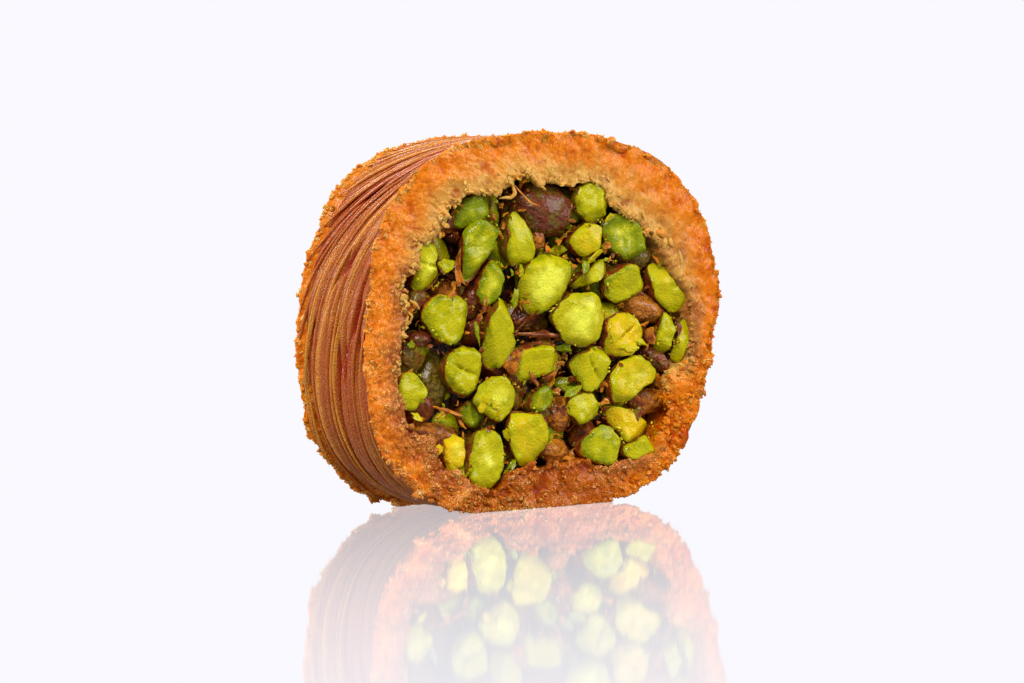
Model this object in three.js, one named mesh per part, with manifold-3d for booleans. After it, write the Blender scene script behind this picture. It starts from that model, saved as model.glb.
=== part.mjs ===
// A borma: one slice of a baked roll of shredded kadaif dough, wound round a core of chopped
// pistachios and cut through at both ends. Millimetres, +Z up. The roll's own axis runs along Y,
// the shown cut faces -Y, and the slice lies on the flattened underside of its pastry wall.
import * as THREE from "three";
import { mergeVertices } from "three/addons/utils/BufferGeometryUtils.js";
import Module from "manifold-3d";

// Driving dimensions
const WIDTH = 54;
const HEIGHT = 46.5;
const LENGTH = 15.6;
const SQUARENESS = 2.6; // superellipse power of the pressed roll: 2 is an ellipse
const HOLE_WIDTH = 43;
const HOLE_HEIGHT = 35.4;
const FLAT_DEPTH = 0.4; // how much the roll's weight has flattened its underside
const GAP = 0.3; // between the wall and the filling

// Where the pressed roll bulges or sinks: angle and spread in degrees, height in millimetres
const OUTER_LOBES = [
  { angle: -140, spread: 24, height: 1.3 },
  { angle: -80, spread: 10, height: 0.4 },
  { angle: -24, spread: 22, height: -1.5 },
  { angle: 2, spread: 8, height: 0.5 },
  { angle: 155, spread: 24, height: -0.6 },
];
const BACK_LOBES = [
  { angle: -140, spread: 22, height: -0.9 },
  { angle: 148, spread: 20, height: -0.9 },
];
const HOLE_LOBES = [
  { angle: -126, spread: 30, height: 3.0 },
  { angle: -47, spread: 14, height: 2.8 },
  { angle: -23, spread: 7, height: -1.6 },
  { angle: 2, spread: 12, height: 0.7 },
  { angle: 26, spread: 20, height: -2.2 },
  { angle: 85, spread: 10, height: -0.8 },
  { angle: 150, spread: 20, height: -0.7 },
];

// The wall's relief
const ROPES = 6; // bundles of strands laid side by side along the roll
const ROPES_CROSSED = 3; // how many bundles further back a bundle lies after one turn
const ROPE_RELIEF = 0.9;
const LIP = 0.7; // the burr that the knife leaves round each cut
const LIP_SPREAD = 1.1;
const FACE_RELIEF = 0.45;
const ANGLE_STEPS = 72;
const LENGTH_STEPS = 30;
const FACE_STEPS = 4;
const HOLE_STEPS = 2;

// The filling
const NUT_RINGS = 3; // rings of nuts round the middle one
const NUT_RADIUS = 3.1;
const NUT_SIDES = 6;
const NUT_DEPTH = 5;
const NUT_BEVEL = 0.75; // how far the rim of a cut nut is rounded off
const NUT_STAGGER = 0.9; // how far the cut nuts stand proud of each other
const CORE_RECESS = 2.4; // depth of the dark gaps between the nuts
const CORE_POINTS = 48;

const TURN = 2 * Math.PI;
const CENTRE_Z = HEIGHT / 2;
const wasm = await Module();
wasm.setup();

// A repeatable number from 0 to 1 for each whole number and channel
function scatter(index, channel) {
  const wave = Math.sin(index * 127.1 + channel * 311.7) * 43758.5453;
  return wave - Math.floor(wave);
}

function superellipse(angle, width, height) {
  const across = Math.abs(Math.cos(angle)) / (width / 2);
  const up = Math.abs(Math.sin(angle)) / (height / 2);
  return (across ** SQUARENESS + up ** SQUARENESS) ** (-1 / SQUARENESS);
}

function lobeHeight(angle, lobes) {
  return lobes.reduce((sum, lobe) => {
    const away = angle - THREE.MathUtils.degToRad(lobe.angle);
    const wrapped = Math.atan2(Math.sin(away), Math.cos(away));
    const spread = THREE.MathUtils.degToRad(lobe.spread);
    return sum + lobe.height * Math.exp(-((wrapped / spread) ** 2));
  }, 0);
}

function outerRadius(angle, along) {
  const back = along / LENGTH + 0.5;
  const lobes = lobeHeight(angle, OUTER_LOBES) + back * lobeHeight(angle, BACK_LOBES);
  return superellipse(angle, WIDTH, HEIGHT) + lobes;
}

function holeRadius(angle) {
  return superellipse(angle, HOLE_WIDTH, HOLE_HEIGHT) + lobeHeight(angle, HOLE_LOBES);
}

// Height of the wound bundles, 0 on a crest and negative in the groove beside it. They run round
// the roll on a slant, and waver as they go.
function ropeRelief(angle, along) {
  const waver = 0.22 * Math.sin(3 * angle + 1) + 0.12 * Math.sin(7 * angle + 4);
  const phase = (along / LENGTH) * ROPES - (angle / TURN) * ROPES_CROSSED + waver;
  return -ROPE_RELIEF * (0.5 + 0.5 * Math.cos(TURN * phase));
}

// The burr of crumbs round both cuts
function lipHeight(angle, along) {
  const fromCut = LENGTH / 2 - Math.abs(along);
  const uneven = 0.65 + 0.35 * Math.sin(5 * angle + 2) * Math.sin(11 * angle);
  return LIP * uneven * Math.exp(-((fromCut / LIP_SPREAD) ** 2));
}

// How far the crumbly cut stands out from a flat one
function faceRelief(angle, share) {
  const crumbs = Math.sin(9 * angle + 4 * share) * Math.cos(13 * angle - 5 * share);
  return FACE_RELIEF * crumbs * Math.sin(Math.PI * Math.min(1, share + 0.25));
}

// Rows of the wall's section: along the outside, across the far cut, back through the hole and
// across the near cut. Share is 0 at the outside and 1 at the hole.
function wallSection() {
  const rows = [];
  for (let i = 0; i <= LENGTH_STEPS; i++) {
    rows.push({ side: "outside", along: LENGTH * (i / LENGTH_STEPS - 0.5), share: 0 });
  }
  for (let i = 1; i < FACE_STEPS; i++) {
    rows.push({ side: "cut", along: LENGTH / 2, share: i / FACE_STEPS });
  }
  for (let i = 0; i <= HOLE_STEPS; i++) {
    rows.push({ side: "hole", along: LENGTH * (0.5 - i / HOLE_STEPS), share: 1 });
  }
  for (let i = FACE_STEPS - 1; i > 0; i--) {
    rows.push({ side: "cut", along: -LENGTH / 2, share: i / FACE_STEPS });
  }
  return rows;
}

function wallPoint(angle, row) {
  const bundles = ropeRelief(angle, row.along) + lipHeight(angle, row.along);
  const outside = outerRadius(angle, row.along) + bundles * (1 - row.share);
  const radius = THREE.MathUtils.lerp(outside, holeRadius(angle), row.share);
  const out = row.side === "cut" ? faceRelief(angle, row.share) * Math.sign(row.along) : 0;
  const z = CENTRE_Z + radius * Math.sin(angle) - FLAT_DEPTH;
  return new THREE.Vector3(radius * Math.cos(angle), row.along + out, Math.max(0, z));
}

function wallGeometry() {
  const section = wallSection();
  const points = [];
  const faces = [];
  for (let i = 0; i < ANGLE_STEPS; i++) {
    const angle = (TURN * i) / ANGLE_STEPS;
    section.forEach((row) => points.push(wallPoint(angle, row)));
  }
  for (let i = 0; i < ANGLE_STEPS; i++) {
    for (let j = 0; j < section.length; j++) {
      const here = i * section.length;
      const beside = ((i + 1) % ANGLE_STEPS) * section.length;
      const next = (j + 1) % section.length;
      faces.push(here + j, here + next, beside + next);
      faces.push(here + j, beside + next, beside + j);
    }
  }
  return new THREE.BufferGeometry().setFromPoints(points).setIndex(faces);
}

// A three.js shape as a manifold-3d solid, and back
function toSolid(geometry) {
  const bare = geometry.clone();
  bare.deleteAttribute("normal");
  bare.deleteAttribute("uv");
  const merged = mergeVertices(bare, 1e-4);
  return new wasm.Manifold(
    new wasm.Mesh({
      numProp: 3,
      vertProperties: merged.attributes.position.array,
      triVerts: new Uint32Array(merged.index.array),
    }),
  );
}

function toGeometry(solid) {
  const mesh = solid.getMesh();
  const geometry = new THREE.BufferGeometry();
  geometry.setAttribute("position", new THREE.BufferAttribute(mesh.vertProperties, 3));
  geometry.setIndex(new THREE.BufferAttribute(mesh.triVerts, 1));
  geometry.computeVertexNormals();
  return geometry;
}

// The hole's outline, drawn in by the gap and run along the roll
function holePlug(length) {
  const shape = new THREE.Shape();
  for (let i = 0; i < CORE_POINTS; i++) {
    const angle = (TURN * i) / CORE_POINTS;
    const radius = holeRadius(angle) - GAP;
    const x = radius * Math.cos(angle);
    const z = CENTRE_Z + radius * Math.sin(angle) - FLAT_DEPTH;
    if (i === 0) shape.moveTo(x, z);
    else shape.lineTo(x, z);
  }
  const plug = new THREE.ExtrudeGeometry(shape, { depth: length, bevelEnabled: false });
  plug.translate(0, 0, -length / 2);
  plug.rotateX(Math.PI / 2);
  return plug;
}

// One cut nut: a short column of a few sides with a bevelled end, along +Y
function nutGeometry(radius, rise) {
  const profile = [
    new THREE.Vector2(0, -NUT_DEPTH),
    new THREE.Vector2(radius * 0.7, -NUT_DEPTH),
    new THREE.Vector2(radius, rise - NUT_BEVEL),
    new THREE.Vector2(radius - NUT_BEVEL, rise),
    new THREE.Vector2(0, rise),
  ];
  return new THREE.LatheGeometry(profile, NUT_SIDES);
}

// Nuts in rings round the middle of the hole, on the cut at side -1 or 1
function nutRings(side) {
  const nuts = [];
  for (let ring = 0; ring <= NUT_RINGS; ring++) {
    const count = Math.max(1, 6 * ring);
    for (let i = 0; i < count; i++) {
      const key = nuts.length + (side > 0 ? 100 : 0);
      const angle = TURN * ((i + 0.5 * ring + 0.3 * scatter(key, 1)) / count);
      const middle = (holeRadius(angle) - NUT_RADIUS) * (ring / NUT_RINGS);
      const nut = nutGeometry(
        NUT_RADIUS * (0.8 + 0.3 * scatter(key, 2)),
        NUT_STAGGER * (scatter(key, 3) - 0.7),
      );
      nut.rotateY(TURN * scatter(key, 4));
      if (side < 0) nut.rotateX(Math.PI);
      nut.translate(
        middle * Math.cos(angle),
        (side * LENGTH) / 2,
        CENTRE_Z + middle * Math.sin(angle) - FLAT_DEPTH,
      );
      nuts.push(toSolid(nut));
    }
  }
  return nuts;
}

// The packed nuts, one body from cut to cut: a core set back from both cuts, and the nuts on it
function fillingGeometry() {
  let filling = toSolid(holePlug(LENGTH - 2 * CORE_RECESS));
  for (const side of [-1, 1]) {
    for (const nut of nutRings(side)) filling = filling.add(nut);
  }
  return toGeometry(filling.intersect(toSolid(holePlug(LENGTH + 2 * NUT_DEPTH))));
}

const bakedDough = new THREE.MeshStandardMaterial({
  color: "#c8721f",
  roughness: 0.6,
  metalness: 0,
});
const pistachio = new THREE.MeshStandardMaterial({
  color: "#9db320",
  roughness: 0.45,
  metalness: 0,
});

const wall = new THREE.Mesh(wallGeometry(), bakedDough);
wall.name = "kadaif_wall";
const filling = new THREE.Mesh(fillingGeometry(), pistachio);
filling.name = "pistachio_filling";

const borma = new THREE.Group();
borma.add(wall, filling);
const box = new THREE.Box3().setFromObject(borma);
const middle = box.getCenter(new THREE.Vector3());
borma.position.set(-middle.x, -middle.y, -box.min.z);

export default borma;
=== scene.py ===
"""The looks of one slice of borma, a baked roll of shredded kadaif dough round chopped pistachios.

Sizes inside this file are in millimetres, and MM turns them into the frame's metres. The roll's own
axis runs along Y, the shown cut faces -Y, angles go round the roll from +X to +Z, and the slice
lies on its flattened underside.
"""

import functools
import itertools
import math

import bpy
import numpy as np
from bpy.props import FloatProperty, FloatVectorProperty, IntProperty, PointerProperty
from mathutils import Matrix, Vector


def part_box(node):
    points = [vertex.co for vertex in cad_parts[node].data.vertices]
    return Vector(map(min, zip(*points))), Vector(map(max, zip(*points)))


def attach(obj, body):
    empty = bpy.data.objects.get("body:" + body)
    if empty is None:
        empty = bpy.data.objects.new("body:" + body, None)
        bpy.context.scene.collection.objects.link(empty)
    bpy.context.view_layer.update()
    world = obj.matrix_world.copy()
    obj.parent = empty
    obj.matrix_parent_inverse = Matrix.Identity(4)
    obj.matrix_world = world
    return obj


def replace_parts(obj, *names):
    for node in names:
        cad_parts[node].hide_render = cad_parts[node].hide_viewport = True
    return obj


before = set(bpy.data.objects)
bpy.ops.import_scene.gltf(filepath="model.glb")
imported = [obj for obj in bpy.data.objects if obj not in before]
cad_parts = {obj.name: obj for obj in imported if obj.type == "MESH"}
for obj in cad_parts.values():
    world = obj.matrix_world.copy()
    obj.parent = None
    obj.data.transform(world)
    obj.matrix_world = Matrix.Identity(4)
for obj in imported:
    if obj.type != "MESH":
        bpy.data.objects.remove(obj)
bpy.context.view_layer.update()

bl_info = {
    "name": "Borma slice",
    "version": (1, 0, 0),
    "blender": (4, 5, 0),
    "location": "3D View > Sidebar > Borma",
    "description": "Dresses the packed frame of a slice of borma with dough, strands, kernels and syrup",
    "category": "Object",
}

MM = 0.001
TURN = 2 * math.pi

# The pressed roll, as the frame has it
WIDTH = 54.0
HEIGHT = 46.5
LENGTH = 15.6
ROLL_RADIUS = 24.0  # on average, to turn an angle into a run along a strand
SQUARENESS = 2.6
HOLE_WIDTH = 43.0
HOLE_HEIGHT = 35.4
FLAT_DEPTH = 0.4
AXIS_UP = HEIGHT / 2 - FLAT_DEPTH  # how high the roll's axis lies
CRUMB_ROOM = 0.35  # room left outside the wall for its burr and loose crumbs
# Where it bulges or sinks: angle and spread in degrees, height
OUTER_BULGES = ((-140, 24, 1.3), (-80, 10, 0.4), (-24, 22, -1.5), (2, 8, 0.5), (155, 24, -0.6))
BACK_BULGES = ((-140, 22, -0.9), (148, 20, -0.9))
HOLE_BULGES = (
    (-126, 30, 3.0), (-47, 14, 2.8), (-23, 7, -1.6), (2, 12, 0.7), (26, 20, -2.2), (85, 10, -0.8),
    (150, 20, -0.7),
)

# Where the dough differs round the roll, as angle and spread in degrees, and how much: a higher and
# a wider burr on the back cut, pooled syrup with painted shade, dried sugar with painted glints, a
# cut that tore into coarse crumbs, flakes round the filling, and more chunks on the back cut
BACK_LIP = ((-130, 24, 0.8), (148, 16, 0.3))
BACK_BURR = ((-133, 30, 0.9), (140, 25, 0.5), (185, 28, 0.5))
POOLED_SYRUP_AND_SHADE = ((-98, 34, 0.46), (186, 30, 0.16), (-32, 22, -0.45))
DRIED_SUGAR_AND_GLINTS = ((182, 42, 0.05), (-95, 34, -0.1), (-20, 45, -0.35))
COARSE_CUT = ((-28, 34, 0.65), (-108, 40, 0.6), (165, 40, 0.3))
DRY_FLAKES = ((155, 35, 1.0), (75, 40, 0.4))
BACK_CHUNKS = ((135, 18, 0.9), (-130, 20, 0.9))

# How fast the wound strands drift towards the back cut, in millimetres a degree: an even part, and
# two stretches where the winding crossed over, as angle and spread in degrees, and rate
EVEN_DRIFT = 0.05
CROSSINGS = ((130, 38, 0.42), (-60, 40, 0.2))
SEAM = -90  # the angle where the winding starts and ends, out of sight under the roll

# Points round the wall, and in rows along its outside, over each cut and through its hole
ROUND_STEPS = 800
OUTSIDE_ROWS = 22
CUT_ROWS = 34
HOLE_ROWS = 22
# Points round the wound bundles, in rows from cut to cut and in rows that close them underneath
BUNDLE_STEPS = 740
BUNDLE_ROWS = 116
UNDER_ROWS = 6
BUNDLE_WIDTH = 1.6
BUNDLE_RUN = 26.0  # how far along the winding one bundle shows before another lies over it
STRAND_SPACING = 0.5
STRAND_RUN = 15.0
WALL_SINKS = 1.3  # how far the wall lies under its bundles
UNDER_DEPTH = 1.6  # and how far down they are closed
# Single strands: thickness, points round them, degrees from ring to ring, the fewest rings worth
# showing, and the rings over which an end thins out
STRAND_THICK = 0.35
STRAND_SIDES = 6
STRAND_STEP = 2.3
STRAND_LEAST = 4
STRAND_THINS = 3.5
# Loose strands of dough: points round them, rings for each point of their path, and how many times
# the path is smoothed
LOOSE_SIDES = 8
LOOSE_RINGS = 9
LOOSE_SMOOTHING = 4
# How much longer than wide the streaks are along a strand and along a kernel
STRAND_STREAK = 3.0
KERNEL_STREAK = 7.0

# Breadth of the clumps and of the little flakes that the torn cuts are made of
CLUMP_SIZE = 1.2
GRAIN_SIZE = 0.5
# Layers of unevenness, each as (size of its lumps, height)
INNER_RIM_LAYERS = ((2.2, 0.30), (1.1, 0.35), (0.55, 0.20))
CUT_LAYERS = ((0.7, 0.07), (1.5, 0.20))
KERNEL_EDGE_LAYERS = ((1.1, 0.14), (0.5, 0.10))
KERNEL_FACE_LAYERS = ((1.9, 0.16), (0.7, 0.10))
KERNEL_SKIN_LAYERS = ((1.0, 0.05), (0.45, 0.02))

# How many kernels there are on the cut that faces away and deep behind each cut, and how many chips
# on the kernels' rims and flakes in the gaps each cut has at most
FAR_KERNELS = 40
DEEP_KERNELS = 40
RIM_CHIPS = 2400
GAP_FLAKES = 480
GAP_TRIES = 6  # places tried for every flake, as most fall on a kernel
# Packing of the far and the deep kernels: dots spread over the hole, the times that each kernel moves
# to the middle of its dots, how far one kernel feels its neighbours, its size, and how square it is
PACKING_DOTS = 6000
PACKING_MOVES = 6
PACKING_REACH = 5.5
PACKED_LEAST, PACKED_MOST = 0.8, 4.4
PACKED_SQUARENESS = 7.0
LOWEST_KERNEL = 0.4  # the cut kernels stay this far above the floor
# Depth behind the cuts, half length and half breadth of the deep kernels, each as a range
DEEP_DEPTH = (3.9, 5.2)
DEEP_LONG = (2.2, 3.0)
DEEP_BROAD = (1.5, 2.1)

# The camera: degrees from straight in front of the shown cut, above it and rolled, its distance in
# metres, its lens in millimetres, and the point (across, up) that it looks at
CAMERA_TURN = -36
CAMERA_RISE = 2.0
CAMERA_ROLL = 1.2
CAMERA_FAR = 0.4
CAMERA_LENS = 112.4
CAMERA_SENSOR = 36
CAMERA_AIM = (0.02, 20.27)
SIGHT = math.tan(math.radians(-CAMERA_TURN))  # how far the line of sight moves across, for its depth

# Softboxes: place and breadth in metres, and power in watts, all aimed at the slice
SLICE_MIDDLE = (0, 0, 0.02)
SOFTBOXES = {
    "Key softbox": ((-0.32, -0.42, 0.50), 0.30, 4.3),
    "Side softbox": ((-0.50, 0.54, 0.20), 0.30, 3.8),
    "Fill softbox": ((0.50, -0.45, 0.25), 0.40, 2.6),
    "Back softbox": ((0.10, 0.55, 0.45), 0.40, 3.4),
}
# Brightness of the surround where surfaces mirror it and where it only lights them, and of the
# sheet's underglow on the slice, next to 1 in the open
MIRRORED = 0.6
AMBIENT = 0.42
UNDERGLOW = 0.38
# How much the sheet mirrors under the slice and at the far end of that gloss, in metres
GLOSS_NEAR, GLOSS_FAR, GLOSS_REACH = 0.96, 0.22, 0.17
UNSEEN_GLOSS = 0.25  # the share of that gloss where only the slice sees it
SHEET_REACH = 3.0

FILM_SHARE = 0.07  # how much of a bump still shows in the film of syrup over it

# The torn inner rim of the wall on the shown cut, as (across, up)
RIM = (
    (22.5, 20.0), (22.3, 25.0), (21.0, 27.0), (20.0, 29.0), (18.0, 31.0), (17.0, 33.5), (15.5, 33.8),
    (13.5, 35.4), (11.2, 36.3), (10.1, 37.4), (9.0, 39.6), (5.0, 40.0), (3.0, 39.0), (1.0, 40.0),
    (-1.0, 39.5), (-3.0, 41.0), (-5.0, 40.5), (-7.0, 38.5), (-12.0, 38.6), (-14.5, 37.0), (-16.3, 34.3),
    (-17.0, 33.3), (-19.0, 33.0), (-19.5, 30.0), (-21.3, 28.3), (-21.5, 26.5), (-20.5, 24.0),
    (-22.2, 21.0), (-22.5, 18.0), (-22.3, 14.0), (-21.5, 12.0), (-20.0, 10.0), (-18.0, 9.0), (-17.0, 7.0),
    (-15.0, 5.0), (-13.0, 4.2), (-12.0, 3.0), (-10.0, 2.2), (-8.0, 2.5), (-6.0, 4.5), (-3.0, 5.2),
    (0.0, 4.8), (5.0, 5.5), (9.0, 4.3), (13.0, 4.8), (16.5, 5.5), (17.0, 9.0), (19.0, 11.0), (17.3, 12.5),
    (18.5, 16.0), (22.0, 17.5),
)

# Kernels of the shown cut: depth behind the cut, ripeness from green 0 to yellow 1, paleness of
# the middle, swell of the skin past the cut, and the corners as (across, up) where they line up
# with the cut. A deeper kernel moves back along the line of sight.
KERNELS = (
    (0.4, 0.50, 0.5, 1.05, ((-18.9, 32.7), (-18.1, 33.2), (-16.9, 32.7), (-16.1, 31.8), (-17.2, 30.3),
        (-15.3, 28.9), (-17.5, 27.4), (-18.9, 27.1), (-19.8, 27.7), (-19.3, 30.4))),
    (0.8, 0.45, 0.2, 1.00, ((-16.4, 30.4), (-15.5, 30.9), (-13.7, 30.7), (-14.3, 29.6), (-15.4, 28.9))),
    (0.9, 0.05, 0.1, 1.15, ((-13.5, 36.4), (-12.4, 37.6), (-11.1, 38.5), (-9.6, 38.6), (-7.4, 37.6),
        (-8.0, 36.6), (-9.4, 35.7), (-12.4, 34.5), (-13.5, 34.7))),
    (0.3, 0.25, 0.3, 1.08, ((-12.1, 34.0), (-11.1, 35.0), (-10.0, 35.5), (-8.7, 35.3), (-7.1, 34.0),
        (-7.7, 32.5), (-9.4, 30.3), (-11.4, 28.1), (-12.1, 28.4), (-12.4, 31.5))),
    (0.8, 0.20, 0.3, 1.10, ((-8.1, 30.5), (-7.0, 29.9), (-6.5, 28.7), (-7.2, 26.2), (-8.4, 25.3),
        (-9.6, 24.8), (-10.4, 27.0), (-9.2, 29.8))),
    (0.2, 0.50, 0.3, 1.05, ((-5.6, 34.2), (-5.5, 35.5), (-4.5, 36.6), (-2.9, 35.2), (-2.2, 33.8),
        (-1.9, 31.1), (-2.4, 30.3), (-3.9, 29.8), (-5.1, 30.1), (-5.8, 31.1))),
    (-0.3, 0.50, 0.85, 1.06, ((-3.8, 26.7), (-3.1, 29.4), (-1.9, 30.4), (-0.2, 31.1), (1.0, 31.2),
        (2.9, 30.7), (3.9, 28.8), (3.1, 27.0), (1.2, 25.0), (0.0, 24.2), (-1.7, 23.8), (-2.9, 24.5))),
    (0.2, 0.40, 0.1, 1.06, ((-17.0, 26.1), (-15.5, 26.6), (-13.8, 26.4), (-11.5, 25.3), (-12.3, 22.8),
        (-12.8, 21.4), (-13.8, 20.8), (-15.2, 20.6), (-16.5, 21.3), (-18.4, 23.8), (-18.1, 25.2))),
    (0.3, 0.50, 0.2, 1.06, ((-6.8, 25.9), (-6.0, 25.7), (-5.4, 24.3), (-5.1, 21.0), (-4.8, 19.9),
        (-6.5, 18.1), (-7.7, 17.3), (-9.4, 18.2), (-9.2, 22.0), (-9.0, 23.6))),
    (0.3, 0.50, 0.2, 1.12, ((-14.0, 19.9), (-12.4, 20.1), (-10.8, 19.6), (-10.1, 17.9), (-10.4, 16.5),
        (-11.8, 14.5), (-12.4, 14.2), (-13.8, 15.0), (-15.8, 17.1), (-15.2, 19.1))),
    (0.6, 0.50, 0.2, 1.00, ((-21.5, 17.4), (-20.1, 17.6), (-18.1, 15.4), (-18.6, 14.5), (-20.1, 12.8),
        (-22.0, 13.3), (-22.4, 15.7))),
    (0.0, 0.55, 0.5, 1.06, ((-9.6, 15.7), (-8.2, 16.4), (-6.7, 16.4), (-5.0, 14.5), (-5.1, 13.1),
        (-6.8, 11.3), (-7.9, 10.9), (-9.9, 12.3), (-11.5, 13.5))),
    (0.5, 0.60, 0.1, 1.30, ((-4.8, 18.1), (-3.9, 19.3), (-1.2, 19.7), (0.1, 19.9), (1.2, 18.9), (1.9, 17.9),
        (1.6, 17.0), (-1.0, 16.4), (-3.8, 15.7), (-4.6, 16.4))),
    (-0.2, 0.72, 0.2, 1.04, ((-6.0, 11.1), (-5.1, 11.8), (-1.9, 11.4), (-0.5, 11.3), (0.3, 9.8),
        (-0.5, 7.7), (-2.1, 5.3), (-3.9, 5.2), (-5.5, 6.9), (-6.3, 9.7))),
    (0.1, 0.55, 0.4, 1.04, ((-9.4, 10.1), (-8.2, 9.6), (-7.3, 7.9), (-7.3, 5.2), (-8.7, 3.1), (-10.2, 2.3),
        (-11.3, 2.8), (-12.3, 4.6), (-12.1, 7.0), (-10.9, 9.4))),
    (0.7, 1.00, 0.5, 1.10, ((-14.3, 9.9), (-13.3, 8.9), (-12.9, 7.2), (-13.5, 5.8), (-15.0, 5.0),
        (-16.0, 7.0), (-15.5, 9.0))),
    (1.0, 0.70, 0.6, 1.00, ((-13.9, 5.3), (-13.0, 5.8), (-12.4, 4.6), (-13.5, 4.2))),
    (0.2, 0.50, 0.2, 1.14, ((5.6, 39.3), (6.8, 39.8), (8.5, 39.8), (9.5, 38.9), (10.1, 37.5), (9.2, 35.5),
        (8.0, 35.0), (6.5, 35.5), (5.3, 36.4), (4.8, 37.8))),
    (0.4, 0.15, 0.3, 1.08, ((9.5, 34.9), (10.9, 35.7), (12.6, 36.1), (14.0, 35.0), (15.2, 33.7),
        (15.7, 32.1), (15.3, 31.0), (13.8, 30.3), (12.3, 30.3), (10.5, 31.4), (9.4, 33.8))),
    (0.7, 0.80, 0.3, 1.05, ((3.9, 32.8), (4.8, 34.0), (6.3, 34.7), (7.7, 34.7), (8.9, 34.2), (9.2, 33.2),
        (8.5, 31.8), (6.3, 30.6), (4.9, 31.2))),
    (0.5, 0.45, 0.0, 1.06, ((9.4, 27.7), (10.9, 28.6), (12.6, 29.4), (14.3, 29.4), (15.5, 27.5),
        (15.3, 26.2), (12.6, 25.3), (10.9, 24.8), (9.7, 25.3))),
    (1.1, 0.50, 0.3, 1.00, ((4.1, 26.7), (5.8, 28.4), (7.2, 29.6), (8.9, 30.3), (11.6, 29.4), (10.1, 28.6),
        (6.7, 27.4), (5.0, 26.5))),
    (-0.4, 0.62, 0.8, 1.04, ((2.4, 25.3), (3.8, 25.9), (5.8, 26.0), (7.8, 26.2), (8.9, 24.6), (8.5, 21.6),
        (7.5, 20.2), (6.3, 19.5), (3.1, 20.2), (1.2, 22.4), (0.9, 23.7))),
    (0.3, 0.92, 0.1, 1.10, ((9.5, 21.9), (10.2, 22.8), (11.6, 23.5), (13.1, 23.3), (14.3, 22.1),
        (15.2, 20.6), (13.9, 19.6), (12.9, 18.2), (10.6, 18.2), (9.5, 18.9))),
    (0.8, 0.50, 0.0, 1.05, ((18.6, 23.5), (19.4, 22.8), (20.1, 21.4), (19.2, 18.9), (18.2, 18.1),
        (17.2, 18.6), (17.1, 20.3), (17.7, 22.0))),
    (0.6, 0.55, 0.1, 1.00, ((22.0, 22.8), (22.6, 21.9), (22.3, 19.6), (21.6, 17.7), (20.9, 16.9),
        (19.7, 17.4), (20.1, 18.9), (20.9, 21.6))),
    (0.6, 0.60, 0.1, 1.00, ((16.3, 29.4), (17.4, 29.8), (18.6, 29.1), (19.4, 27.6), (22.1, 25.0),
        (22.0, 23.8), (21.1, 23.2), (19.7, 23.5), (17.0, 25.3), (16.5, 27.0))),
    (0.5, 0.55, 0.1, 1.08, ((3.9, 17.4), (5.8, 18.9), (7.2, 19.3), (8.5, 19.1), (9.6, 18.0), (8.5, 15.2),
        (7.5, 14.2), (5.5, 13.9), (5.1, 15.2))),
    (0.1, 0.72, 0.3, 1.05, ((9.7, 14.5), (10.2, 15.9), (11.2, 17.1), (12.6, 17.9), (14.3, 18.1),
        (15.7, 17.4), (17.4, 15.7), (16.7, 14.8), (15.0, 14.3), (12.4, 12.5), (11.2, 12.4), (10.2, 13.0))),
    (0.7, 0.55, 0.3, 1.12, ((3.1, 12.8), (3.9, 13.5), (5.3, 13.8), (6.7, 13.7), (7.8, 11.9), (7.2, 10.8),
        (6.0, 10.1), (4.6, 10.1), (2.9, 11.6))),
    (0.2, 0.35, 0.1, 1.04, ((4.8, 6.7), (5.5, 8.0), (6.7, 9.1), (8.2, 9.7), (9.4, 9.4), (10.4, 8.2),
        (11.6, 6.3), (10.9, 5.3), (9.5, 4.5), (6.7, 5.2))),
    (0.9, 0.95, 0.0, 1.00, ((9.2, 12.0), (10.9, 11.6), (12.6, 11.3), (14.3, 10.4), (15.7, 9.4), (16.6, 7.6),
        (14.0, 7.7), (12.1, 7.0), (11.2, 8.0), (9.5, 10.9))),
    (0.0, 0.50, 0.3, 1.00, ((11.5, 6.5), (12.6, 7.0), (14.0, 7.7), (15.2, 8.0), (16.0, 7.2), (16.5, 6.2),
        (15.7, 5.3), (12.9, 5.1), (11.6, 5.7))),
    (1.3, 0.20, 0.0, 1.05, ((-2.9, 12.5), (-2.1, 14.2), (-0.5, 14.9), (0.7, 14.2), (0.4, 13.0),
        (-0.4, 12.0), (-2.1, 11.4))),
    (2.0, 0.05, 0.0, 1.05, ((1.0, 15.0), (2.0, 15.8), (4.0, 15.5), (5.0, 15.2), (5.0, 13.9), (3.0, 13.6))),
    (1.6, 0.10, 0.0, 1.05, ((-13.3, 12.8), (-12.1, 13.5), (-10.6, 12.8), (-9.9, 11.4), (-10.7, 10.1),
        (-12.1, 10.4), (-13.0, 11.4))),
)

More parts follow.
